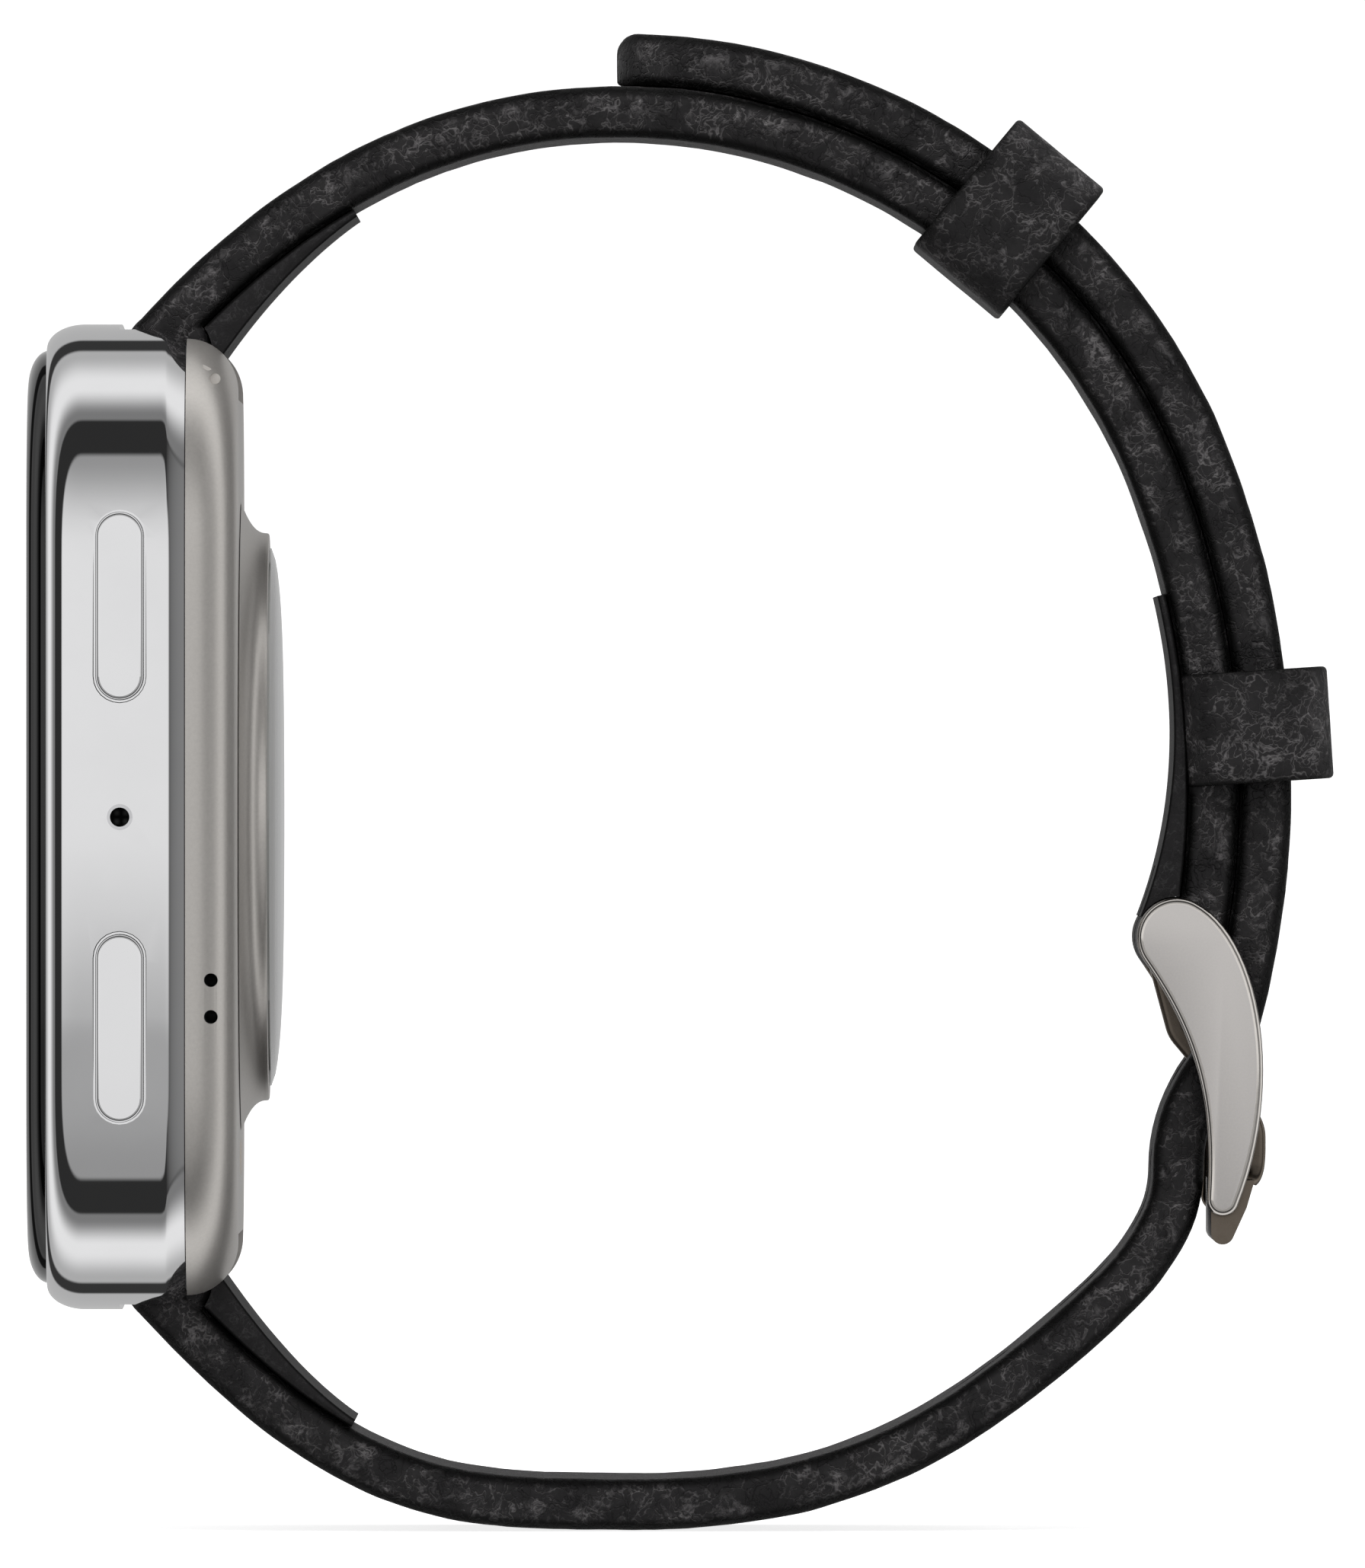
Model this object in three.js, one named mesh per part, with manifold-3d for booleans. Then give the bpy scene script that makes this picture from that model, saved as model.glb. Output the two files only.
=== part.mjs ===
// Smartwatch on a two-piece leather strap, buckled into a loop and standing on the strap.
// Millimetres. +Z points to twelve o'clock, the display faces -Y and the buttons are on +X.
// The origin is the centre of the front glass.
import * as THREE from 'three';
import { mergeVertices } from 'three/addons/utils/BufferGeometryUtils.js';
import Module from 'manifold-3d';

const wasm = await Module();
wasm.setup();

// ---- driving dimensions: case ----
const CASE_WIDTH = 36.5;
const CASE_HEIGHT = 43.2;
const CASE_CORNER = 10;
const CORNER_POWER = 2.5;
const CASE_CROWN = 0.6;
const CASE_WALL = 2.0;
const GLASS_RISE = 0.82;
const GLASS_SEAT = 0.3;
const GLASS_INSET = 1.15;
const GLASS_EDGE = 1.5;
const FRAME_DEPTH = 6.08;
const FRAME_FRONT_BEVEL = 1.6;
const FRAME_FRONT_INSET = 0.95;
const FRAME_REAR_BEVEL = 0.8;
const FRAME_REAR_INSET = 0.35;
const COVER_DEPTH = 2.29;
const COVER_WALL = 0.75;
const COVER_ROUND = 2.3;
const SHELF_LIP = 0.3;
const DISPLAY_THICKNESS = 1.0;
const CHASSIS_THICKNESS = 0.75;
const BOARD_THICKNESS = 0.8;

// ---- driving dimensions: heart-rate sensor ----
const SENSOR_RADIUS = CASE_HEIGHT / 2 - 7.85;
const SENSOR_RIM = SENSOR_RADIUS - 1.3;
const SENSOR_RISE = 1.26;
const LENS_RADIUS = SENSOR_RIM - 0.65;
const LENS_RISE = 0.62;
const LENS_THICKNESS = 0.55;

// ---- driving dimensions: buttons and microphone ----
const BUTTON_WIDTH = 2.1;
const BUTTON_LENGTH = 8.2;
const BUTTON_DEPTH_Y = 4.1;
const BUTTON_OFFSET_Z = 0.2125 * CASE_HEIGHT;
const BUTTON_PROUD = 0.35;
const BUTTON_TRAVEL = 0.35;
const BUTTON_BODY = 0.85;
const STEM_RADIUS = 0.6;
const SEAL_SECTION = 0.35;
const MIC_RADIUS = 0.42;
const VENT_RADIUS = 0.3;
const CORNER_VENT_RADIUS = 0.24;

// ---- driving dimensions: strap ----
const STRAP_THICKNESS = 2.25;
const STRAP_LUG_WIDTH = 20;
const STRAP_WIDTH = 18.4;
const STRAP_TAPER = 20;
const STRAP_EDGE = 0.45;
const LAYER_GAP = 0.1;
const TAB_GAP = 0.04;
const LOOP_FIT = 0.05;
const LUG_BAR_Y = 6.1;
const LUG_BAR_INSET = 1.35;
const LUG_LOOP = 1.9;
const LUG_HEADING = 48;
const LUG_TAB_LENGTH = 10.6;
const TAB_TIP = 0.35;
const HOLE_WIDTH = 2.3;
const HOLE_LENGTH = 3.8;
const HOLE_PITCH = 6;
const HOLE_COUNT = 7;
const HOLES_PAST_TANG = 3;
const TIP_LENGTH = 7;

// ---- driving dimensions: hoop, keepers and buckle ----
const HOOP_Y = 25.7;
const HOOP_Z = 5.54;
const HOOP_RADIUS = 26.44;
const HOOP_ARC = 69.3;
const SHOULDER_RADIUS = 37.7;
const SHOULDER_ARC = 11;
const SIDE_RADIUS = 38.7;
const SIDE_ARC = 24.6;
const PIN_ARC = 20.2;
const PIN_DROP = 0.95;
const PIN_RADIUS = 0.75;
const PIN_LOOP = 1.75;
const BUCKLE_TAB_LENGTH = 15.5;
const KEEPER_WALL = 0.95;
const KEEPER_LINING = 0.62;
const KEEPER_LENGTH = 4.9;
const KEEPER_HEADROOM = 0.75;
const KEEPER_SLACK = 0.24;
const KEEPER_CORNER = 1.75;
const KEEPER_INNER_CORNER = 0.3;
const FREE_KEEPER_ANGLE = 50.3;
const FIXED_KEEPER_ARC = 6.1;
const CHEEK_THICKNESS = 1.6;
const TANG_WIDTH = 1.9;
const TANG_THICKNESS = 0.9;
const BAR_RADIUS = 0.9;
const BAR_BORE = 0.55;
const TIP_RADIUS = 0.42;
const RELEASE_TRAVEL = 1.3;

// ---- clearances ----
const FIT = 0.04;
const SLIDE_FIT = 0.06;
const LEATHER_FIT = 0.3;
const TURN_FIT = 0.3;

// ---- values that follow from them ----
const FRAME_FRONT = GLASS_RISE;
const FRAME_REAR = FRAME_FRONT + FRAME_DEPTH;
const COVER_REAR = FRAME_REAR + COVER_DEPTH;
const GLASS_BACK = FRAME_FRONT + GLASS_SEAT;
const SHELF = GLASS_BACK + 0.24;
const DISPLAY_BACK = GLASS_BACK + FIT + DISPLAY_THICKNESS;
const CHASSIS_FRONT = DISPLAY_BACK + 0.1;
const CHASSIS_BACK = CHASSIS_FRONT + CHASSIS_THICKNESS;
const BOARD_FRONT = CHASSIS_BACK + 0.15;
const BOARD_BACK = BOARD_FRONT + BOARD_THICKNESS;
const FLANK = CASE_WIDTH / 2;
const INNER_FLANK = FLANK - CASE_WALL;
const NOTCH_FRONT = LUG_BAR_Y - LUG_LOOP - 0.2;
const LUG_BAR_Z = CASE_HEIGHT / 2 - LUG_BAR_INSET;
const NOTCH_FLOOR = LUG_BAR_Z - LUG_LOOP - 0.15;
const NOTCH_HALF = STRAP_LUG_WIDTH / 2 + LEATHER_FIT;
const CAVITY_TOP = NOTCH_FLOOR - 1.3;
const CAVITY_FRONT = NOTCH_FRONT - 0.8;
const COVER_FLOOR = COVER_REAR - COVER_WALL;
const KEEPER_HALF = STRAP_WIDTH / 2 + LEATHER_FIT;
const CHEEK_INNER = STRAP_WIDTH / 2 + LEATHER_FIT;
const CHEEK_OUTER = CHEEK_INNER + CHEEK_THICKNESS;
const LAYER_OFFSET = (STRAP_THICKNESS + LAYER_GAP) / 2;
const TAIL_RADIUS = HOOP_RADIUS + LAYER_OFFSET;
const UPPER_RADIUS = HOOP_RADIUS - LAYER_OFFSET;

// ---- materials ----
const surface = (color, roughness, metalness = 0) =>
  new THREE.MeshStandardMaterial({ color, roughness, metalness });
const STEEL = surface(0xd8d8da, 0.15, 1);
const BLACK_GLASS = surface(0x08080a, 0.05);
const COVER_FINISH = surface(0x9b9892, 0.35, 0.8);
const CERAMIC = surface(0xe8e8e6, 0.1);
const LEATHER = surface(0x1c1b1c, 0.6);
const LINING = surface(0x242324, 0.7);
const BUCKLE_STEEL = surface(0xcdc9c6, 0.3, 1);
const RUBBER = surface(0x141414, 0.9);
const BOARD_GREEN = surface(0x16452c, 0.6);
const PLASTIC = surface(0x26282a, 0.6);
const SPRING_STEEL = surface(0xa8aab0, 0.3, 1);
const GOLD = surface(0xd9a441, 0.3, 1);
const BATTERY_FOIL = surface(0x8f9296, 0.4, 0.6);
const LED_RESIN = surface(0x58d68a, 0.2);

// ---- mesh and solid helpers ----
const radians = THREE.MathUtils.degToRad;

function signedVolume(geometry) {
  const p = geometry.attributes.position;
  const order = geometry.index.array;
  const [a, b, c] = [new THREE.Vector3(), new THREE.Vector3(), new THREE.Vector3()];
  let sum = 0;
  for (let i = 0; i < order.length; i += 3) {
    a.fromBufferAttribute(p, order[i]);
    b.fromBufferAttribute(p, order[i + 1]);
    c.fromBufferAttribute(p, order[i + 2]);
    sum += a.dot(b.cross(c));
  }
  return sum / 6;
}

function solid(source) {
  const bare = source.clone();
  bare.deleteAttribute('normal');
  bare.deleteAttribute('uv');
  const merged = mergeVertices(bare, 1e-5);
  if (signedVolume(merged) < 0) merged.index.array.reverse();
  return new wasm.Manifold(new wasm.Mesh({
    numProp: 3,
    vertProperties: new Float32Array(merged.attributes.position.array),
    triVerts: new Uint32Array(merged.index.array),
  }));
}

function geometryOf(manifold) {
  const mesh = manifold.getMesh();
  const geometry = new THREE.BufferGeometry();
  geometry.setAttribute('position', new THREE.BufferAttribute(mesh.vertProperties, 3));
  geometry.setIndex(new THREE.BufferAttribute(mesh.triVerts, 1));
  geometry.computeVertexNormals();
  return geometry;
}

// Skin through a row of rings with equal point counts, closed by a fan at each end.
function loft(rings) {
  const count = rings[0].length;
  const last = rings.length - 1;
  const points = rings.flat();
  const middle = (ring) => ring.reduce((sum, p) => sum.add(p), new THREE.Vector3()).divideScalar(count);
  points.push(middle(rings[0]), middle(rings[last]));
  const order = [];
  for (let i = 0; i < count; i++) {
    const next = (i + 1) % count;
    for (let r = 0; r < last; r++) {
      const [a, b] = [r * count + i, r * count + next];
      order.push(a, b, b + count, a, b + count, a + count);
    }
    order.push(points.length - 2, next, i);
    order.push(points.length - 1, last * count + i, last * count + next);
  }
  const geometry = new THREE.BufferGeometry().setFromPoints(points);
  geometry.setIndex(order);
  return solid(geometry);
}

function box(x0, x1, y0, y1, z0, z1) {
  const geometry = new THREE.BoxGeometry(x1 - x0, y1 - y0, z1 - z0);
  return solid(geometry.translate((x0 + x1) / 2, (y0 + y1) / 2, (z0 + z1) / 2));
}

// Turned solid from a closed profile of [radius, height], about X or about Y.
function turned(profile, axis, place, segments = 18) {
  const geometry = new THREE.LatheGeometry(profile.map(([r, h]) => new THREE.Vector2(r, h)), segments);
  if (axis === 'X') geometry.rotateZ(-Math.PI / 2);
  return solid(geometry.translate(...place));
}

const disc = (r, a, b) => [[0, a], [r, a], [r, b], [0, b]];
const band = (r0, r1, a, b) => [[r0, a], [r1, a], [r1, b], [r0, b], [r0, a]];
const rodX = (r, x0, x1, y, z, segments = 16) => turned(disc(r, x0, x1), 'X', [0, y, z], segments);

// Outline in Y and Z, carried along X between two flats, with an optional bevel on both ends.
const ALONG_X = new THREE.Matrix4().makeBasis(
  new THREE.Vector3(0, 1, 0),
  new THREE.Vector3(0, 0, 1),
  new THREE.Vector3(1, 0, 0),
);

function plateX(shape, x0, x1, bevel = 0) {
  const geometry = new THREE.ExtrudeGeometry(shape, {
    depth: x1 - x0 - 2 * bevel,
    bevelEnabled: bevel > 0,
    bevelThickness: bevel,
    bevelSize: bevel,
    bevelOffset: -bevel,
    bevelSegments: 1,
    curveSegments: 6,
  });
  return solid(geometry.translate(0, 0, bevel).applyMatrix4(ALONG_X).translate(x0, 0, 0));
}

function pill(halfWidth, halfLength, y = 0, z = 0) {
  const shape = new THREE.Shape();
  const reach = halfLength - halfWidth;
  shape.absarc(y, z + reach, halfWidth, 0, Math.PI, false);
  shape.absarc(y, z - reach, halfWidth, Math.PI, 2 * Math.PI, false);
  shape.closePath();
  return shape;
}

function roundedRectangle(halfWidth, halfHeight, corner, target = new THREE.Shape()) {
  const [a, b] = [halfWidth - corner, halfHeight - corner];
  target.absarc(a, b, corner, 0, Math.PI / 2, false);
  target.absarc(-a, b, corner, Math.PI / 2, Math.PI, false);
  target.absarc(-a, -b, corner, Math.PI, 1.5 * Math.PI, false);
  target.absarc(a, -b, corner, 1.5 * Math.PI, 2 * Math.PI, false);
  target.closePath();
  return target;
}

// ---- case outline: straight flanks, soft corners, slightly crowned ends ----
const CORNER_STEPS = 5;

function caseOutline(inset) {
  const a = FLANK - inset;
  const b = CASE_HEIGHT / 2 - inset;
  const c = CASE_CORNER - inset;
  const power = 2 / CORNER_POWER;
  const points = [];
  const corner = (sx, sz, step) => {
    const t = (Math.PI / 2) * (step / CORNER_STEPS);
    const x = a - c + c * Math.cos(t) ** power;
    points.push([sx * x, sz * (b - c + c * Math.sin(t) ** power)]);
  };
  const steps = Array.from({ length: CORNER_STEPS + 1 }, (_, i) => i);
  steps.forEach((i) => corner(1, 1, i));
  [0.5, 0, -0.5].forEach((f) => points.push([f * (a - c), b]));
  steps.forEach((i) => corner(-1, 1, CORNER_STEPS - i));
  steps.forEach((i) => corner(-1, -1, i));
  [-0.5, 0, 0.5].forEach((f) => points.push([f * (a - c), -b]));
  steps.forEach((i) => corner(1, -1, CORNER_STEPS - i));
  return points.map(([x, z]) => [x, z - Math.sign(z) * CASE_CROWN * (x / FLANK) ** 2]);
}

// How far a quarter ellipse has fallen back, from 0 at its start to 1 at its end.
const quarterRound = (t) => 1 - Math.sqrt(1 - t * t);
const caseRing = (inset, y) => caseOutline(inset).map(([x, z]) => new THREE.Vector3(x, y, z));
const caseSlab = (inset, y0, y1) => loft([caseRing(inset, y0), caseRing(inset, y1)]);

function trimmedSlab(inset, y0, y1, top) {
  return caseSlab(inset, y0, y1).intersect(box(-FLANK, FLANK, y0 - 1, y1 + 1, -top, top));
}

// ---- assembly ----
const watch = new THREE.Group();

function add(name, manifold, material) {
  const mesh = new THREE.Mesh(geometryOf(manifold), material);
  mesh.name = name;
  watch.add(mesh);
}

// ---- routes: stations along a line in the Y-Z plane, run clockwise seen from +X ----
class Route {
  constructor(y, z, heading) {
    this.stations = [{ y, z, heading, s: 0 }];
  }

  get end() {
    return this.stations[this.stations.length - 1];
  }

  // Arc of a given radius; a positive turn is clockwise.
  arc(radius, turn, step = 3) {
    const from = this.end;
    const side = Math.sign(turn);
    const h = radians(from.heading);
    const cy = from.y + side * radius * Math.sin(h);
    const cz = from.z - side * radius * Math.cos(h);
    const length = radius * radians(Math.abs(turn));
    const count = Math.max(2, Math.ceil(length / step));
    for (let i = 1; i <= count; i++) {
      const heading = from.heading - (turn * i) / count;
      const a = radians(heading);
      const y = cy - side * radius * Math.sin(a);
      const z = cz + side * radius * Math.cos(a);
      this.stations.push({ y, z, heading, s: from.s + (length * i) / count });
    }
    return this;
  }

  line(length) {
    const { y, z, heading, s } = this.end;
    const h = radians(heading);
    this.stations.push({
      y: y + length * Math.cos(h), z: z + length * Math.sin(h), heading, s: s + length,
    });
    return this;
  }

  // Smooth run to a point and heading, leaving and arriving with the two handle lengths.
  blend(y, z, heading, leave, arrive, count = 10) {
    const from = this.end;
    const [a, b] = [radians(from.heading), radians(heading)];
    const curve = new THREE.CubicBezierCurve(
      new THREE.Vector2(from.y, from.z),
      new THREE.Vector2(from.y + leave * Math.cos(a), from.z + leave * Math.sin(a)),
      new THREE.Vector2(y - arrive * Math.cos(b), z - arrive * Math.sin(b)),
      new THREE.Vector2(y, z),
    );
    const length = curve.getLength();
    for (let i = 1; i <= count; i++) {
      const p = curve.getPointAt(i / count);
      const t = curve.getTangentAt(i / count);
      const raw = THREE.MathUtils.radToDeg(Math.atan2(t.y, t.x));
      const bearing = raw - 360 * Math.round((raw - this.end.heading) / 360);
      this.stations.push({ y: p.x, z: p.y, heading: bearing, s: from.s + (length * i) / count });
    }
    return this;
  }

  at(s) {
    const list = this.stations;
    const i = Math.max(1, list.findIndex((station) => station.s >= s));
    const [a, b] = [list[i - 1], list[i]];
    const f = (s - a.s) / (b.s - a.s);
    const mix = (key) => a[key] + (b[key] - a[key]) * f;
    return { y: mix('y'), z: mix('z'), heading: mix('heading'), s };
  }
}

// Point at a distance outside (positive) or inside (negative) a station.
function offset(station, out, x = 0) {
  const h = radians(station.heading);
  return new THREE.Vector3(x, station.y - out * Math.sin(h), station.z + out * Math.cos(h));
}

// Eight-sided section: a flat band with its four edges cut back.
function bandSection(station, halfWidth, inner, outer, edge) {
  const e = Math.min(edge, (outer - inner) / 3);
  const corners = [
    [halfWidth, inner + e], [halfWidth, outer - e], [halfWidth - e, outer], [e - halfWidth, outer],
    [-halfWidth, outer - e], [-halfWidth, inner + e], [e - halfWidth, inner], [halfWidth - e, inner],
  ];
  return corners.map(([x, out]) => offset(station, out, x));
}

function strapBand(stations, halfWidthAt, innerAt, outerAt) {
  return loft(stations.map((st) =>
    bandSection(st, halfWidthAt(st.s), innerAt(st.s), outerAt(st.s), STRAP_EDGE)));
}

const HALF_THICKNESS = STRAP_THICKNESS / 2;

function lugHalfWidth(distance) {
  const t = Math.min(1, Math.max(0, distance / STRAP_TAPER));
  return (STRAP_LUG_WIDTH + (STRAP_WIDTH - STRAP_LUG_WIDTH) * t) / 2;
}

// Foot of the strap's middle line beside a spring bar, for a strap leaving at a heading.
function barFoot(z, heading) {
  const bar = { y: LUG_BAR_Y, z, heading };
  return offset(bar, LUG_LOOP - HALF_THICKNESS);
}

// ---- the two routes ----
const UPPER_JOIN = 5;
const upperFoot = barFoot(LUG_BAR_Z, LUG_HEADING);
const upperStart = new Route(upperFoot.y, upperFoot.z, LUG_HEADING);
upperStart.blend(
  HOOP_Y - UPPER_RADIUS * Math.sin(radians(UPPER_JOIN)),
  HOOP_Z + UPPER_RADIUS * Math.cos(radians(UPPER_JOIN)),
  UPPER_JOIN, 6.7, 7.7,
);
const upperRoute = upperStart
  .arc(UPPER_RADIUS, UPPER_JOIN + HOOP_ARC)
  .arc(SHOULDER_RADIUS - LAYER_OFFSET, SHOULDER_ARC)
  .arc(SIDE_RADIUS - LAYER_OFFSET, PIN_ARC);

const tailStart = new Route(HOOP_Y, HOOP_Z + TAIL_RADIUS, 0)
  .arc(TAIL_RADIUS, HOOP_ARC)
  .arc(SHOULDER_RADIUS + LAYER_OFFSET, SHOULDER_ARC)
  .arc(SIDE_RADIUS + LAYER_OFFSET, SIDE_ARC);
const TANG_CROSSING = tailStart.end.s + 2.3;
const LOWER_HEADING = 180 - LUG_HEADING;
const lowerFoot = barFoot(-LUG_BAR_Z, LOWER_HEADING);
const lowerRoute = tailStart
  .arc(7.1, 21.3, 0.9)
  .arc(7.1, -36.3, 0.9)
  .arc(5.5, 27, 0.9)
  .arc(10.6, 18.5, 1.2)
  .arc(46.1, 10)
  .arc(23.3, 26.5)
  .arc(35.05, 9);
lowerRoute.blend(lowerFoot.y, lowerFoot.z, LOWER_HEADING, 6.5, 13.2, 14);

const pin = offset(upperRoute.end, -PIN_DROP);


// ---- blocks and rings laid out on a station ----
// Box in a station's own directions: along the route, outwards and across.
function block(station, along, outward, across) {
  const h = radians(station.heading);
  const slice = (a) => {
    const moved = { ...station, y: station.y + a * Math.cos(h), z: station.z + a * Math.sin(h) };
    return [
      offset(moved, outward[0], across[0]), offset(moved, outward[1], across[0]),
      offset(moved, outward[1], across[1]), offset(moved, outward[0], across[1]),
    ];
  };
  return loft([slice(along[0]), slice(along[1])]);
}

// Outline in X and the outward direction, carried along the route through a station.
function plateAcross(shape, station, length) {
  const h = radians(station.heading);
  const basis = new THREE.Matrix4().makeBasis(
    new THREE.Vector3(1, 0, 0),
    new THREE.Vector3(0, -Math.sin(h), Math.cos(h)),
    new THREE.Vector3(0, -Math.cos(h), -Math.sin(h)),
  );
  const settings = { depth: length, bevelEnabled: false, curveSegments: 5 };
  const geometry = new THREE.ExtrudeGeometry(shape, settings);
  geometry.translate(0, 0, -length / 2).applyMatrix4(basis);
  return solid(geometry.translate(0, station.y, station.z));
}

// Outline in X and the route's direction, carried outwards through a station.
function plateOutward(shape, station, reach) {
  const h = radians(station.heading);
  const basis = new THREE.Matrix4().makeBasis(
    new THREE.Vector3(1, 0, 0),
    new THREE.Vector3(0, Math.cos(h), Math.sin(h)),
    new THREE.Vector3(0, -Math.sin(h), Math.cos(h)),
  );
  const settings = { depth: 2 * reach, bevelEnabled: false, curveSegments: 4 };
  const geometry = new THREE.ExtrudeGeometry(shape, settings);
  geometry.translate(0, 0, -reach).applyMatrix4(basis);
  return solid(geometry.translate(0, station.y, station.z));
}

function stretch(route, from, to, count) {
  return Array.from({ length: count + 1 }, (_, i) => route.at(from + ((to - from) * i) / count));
}

// ---- case ----
function lugNotches() {
  const top = CASE_HEIGHT / 2 + 1;
  const notch = (z0, z1) => box(-NOTCH_HALF, NOTCH_HALF, NOTCH_FRONT, COVER_REAR + 1, z0, z1);
  return notch(NOTCH_FLOOR, top).add(notch(-top, -NOTCH_FLOOR));
}

const buttonCentres = [BUTTON_OFFSET_Z, -BUTTON_OFFSET_Z];
const CAP_FACE = FLANK + BUTTON_PROUD;
const CAP_BACK = CAP_FACE - BUTTON_BODY;
const POCKET_FLOOR = CAP_BACK - BUTTON_TRAVEL - FIT;
const SEAL_BORE = STEM_RADIUS + SEAL_SECTION + FIT;
const SEAL_DEPTH = SEAL_SECTION + 0.2;
const STEM_END = INNER_FLANK - 0.55;

function buttonCut(z) {
  const y = BUTTON_DEPTH_Y;
  const outline = pill(BUTTON_WIDTH / 2 + SLIDE_FIT, BUTTON_LENGTH / 2 + SLIDE_FIT, y, z);
  return plateX(outline, POCKET_FLOOR, FLANK + 1)
    .add(rodX(STEM_RADIUS + SLIDE_FIT, INNER_FLANK - 1, FLANK, y, z))
    .add(rodX(SEAL_BORE, INNER_FLANK - 1, INNER_FLANK + SEAL_DEPTH, y, z));
}

function microphoneCut() {
  const mouth = [
    [0, FLANK - 0.15], [MIC_RADIUS, FLANK - 0.15],
    [MIC_RADIUS + 0.35, FLANK + 0.2], [0, FLANK + 0.2],
  ];
  return rodX(MIC_RADIUS, INNER_FLANK - 1, FLANK, BUTTON_DEPTH_Y, 0, 16)
    .add(turned(mouth, 'X', [0, BUTTON_DEPTH_Y, 0], 16));
}

const GROOVE_OUT = 1.05;
const GROOVE_IN = 1.65;
const GROOVE_DEPTH = 0.45;

function sealTrack(grow, y0, y1) {
  const outer = trimmedSlab(GROOVE_OUT - grow, y0, y1, CAVITY_TOP + 0.8 + grow);
  return outer.subtract(trimmedSlab(GROOVE_IN + grow, y0 - 1, y1 + 1, CAVITY_TOP + 0.2 - grow));
}

function makeFrame() {
  const front = [1, 0.9, 0.6, 0].map((t) =>
    caseRing(FRAME_FRONT_INSET * quarterRound(t), FRAME_FRONT + (1 - t) * FRAME_FRONT_BEVEL));
  const rear = [0, 0.75, 1].map((t) =>
    caseRing(FRAME_REAR_INSET * quarterRound(t), FRAME_REAR - (1 - t) * FRAME_REAR_BEVEL));
  const tip = NOTCH_HALF + 1.05;
  let body = loft([...front, ...rear])
    .subtract(caseSlab(GLASS_INSET - SLIDE_FIT, FRAME_FRONT - 1, SHELF))
    .subtract(caseSlab(CASE_WALL + SHELF_LIP, SHELF - 0.1, CHASSIS_FRONT))
    .subtract(caseSlab(CASE_WALL, CHASSIS_FRONT - 0.1, CAVITY_FRONT))
    .subtract(trimmedSlab(CASE_WALL, CAVITY_FRONT - 0.1, FRAME_REAR + 1, CAVITY_TOP))
    .subtract(sealTrack(0, FRAME_REAR - GROOVE_DEPTH, FRAME_REAR + 1))
    .subtract(lugNotches())
    .subtract(microphoneCut());
  for (const z of buttonCentres) body = body.subtract(buttonCut(z));
  for (const z of [LUG_BAR_Z, -LUG_BAR_Z]) {
    body = body.subtract(rodX(TIP_RADIUS + SLIDE_FIT, -tip, tip, LUG_BAR_Y, z, 12));
  }
  return body;
}

const SENSOR_NECK = LENS_RADIUS - 0.3;
const CONTACT_X = 3;
const CONTACT_Z = 1.95 - CAVITY_TOP;
const CONTACT_RADIUS = 0.8;
const contactPlaces = [[-CONTACT_X, CONTACT_Z], [CONTACT_X, CONTACT_Z]];
const VENT_Y = FRAME_REAR + 1.16;
const SPEAKER_VENTS = [-7.09, -8.69];
const CORNER_VENTS = [[VENT_Y - 0.16, CASE_HEIGHT / 2 - 1.9], [VENT_Y + 0.14, CASE_HEIGHT / 2 - 2.5]];
const VENT_DEPTH = 6.25;

function makeCover() {
  const front = FRAME_REAR + FIT;
  const rings = [0, 0.45, 0.75, 0.93, 1].map((t) => {
    const inset = FRAME_REAR_INSET + 0.05 + COVER_ROUND * quarterRound(t);
    return caseRing(inset, front + (COVER_REAR - front) * t);
  });
  let body = loft(rings)
    .subtract(trimmedSlab(CASE_WALL + 1.4, front - 1, COVER_FLOOR, CAVITY_TOP - 0.7))
    .subtract(turned(disc(SENSOR_NECK + SLIDE_FIT, front, COVER_REAR + 1), 'Y', [0, 0, 0], 36))
    .subtract(lugNotches());
  const ventFloor = FLANK - VENT_DEPTH;
  for (const z of SPEAKER_VENTS) {
    body = body.subtract(rodX(VENT_RADIUS, ventFloor, FLANK + 1, VENT_Y, z, 10));
  }
  for (const [y, z] of CORNER_VENTS) {
    body = body.subtract(rodX(CORNER_VENT_RADIUS, ventFloor + 1.4, FLANK + 1, y, z, 10));
  }
  for (const [x, z] of contactPlaces) {
    const hole = disc(CONTACT_RADIUS + FIT, COVER_FLOOR - 1, COVER_REAR + 1);
    body = body.subtract(turned(hole, 'Y', [x, 0, z], 14));
  }
  return body;
}

function makeGlass() {
  const rings = [0, 0.1, 0.4, 1].map((t) => {
    const inset = GLASS_INSET + GLASS_EDGE * quarterRound(1 - t);
    return caseRing(inset, GLASS_RISE * t);
  });
  return loft([...rings, caseRing(GLASS_INSET, GLASS_BACK)]);
}

add('case_frame', makeFrame(), STEEL);
add('back_cover', makeCover(), COVER_FINISH);
add('cover_glass', makeGlass(), BLACK_GLASS);
add('display_gasket', caseSlab(1.2, GLASS_BACK + FIT, SHELF - FIT)
  .subtract(caseSlab(2.15, GLASS_BACK - 1, SHELF + 1)), RUBBER);
add('display_panel', caseSlab(CASE_WALL + SHELF_LIP + 0.3, GLASS_BACK + FIT, DISPLAY_BACK), BLACK_GLASS);
add('back_gasket', sealTrack(-FIT, FRAME_REAR - GROOVE_DEPTH + FIT, FRAME_REAR), RUBBER);

// ---- heart-rate sensor ----
const SENSOR_TOP = COVER_REAR + SENSOR_RISE;
const LENS_SEAT = SENSOR_TOP - LENS_THICKNESS;
const SENSOR_FLOOR = COVER_FLOOR + 0.1;
const SENSOR_BOARD_BACK = SENSOR_FLOOR + 0.45;

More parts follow.
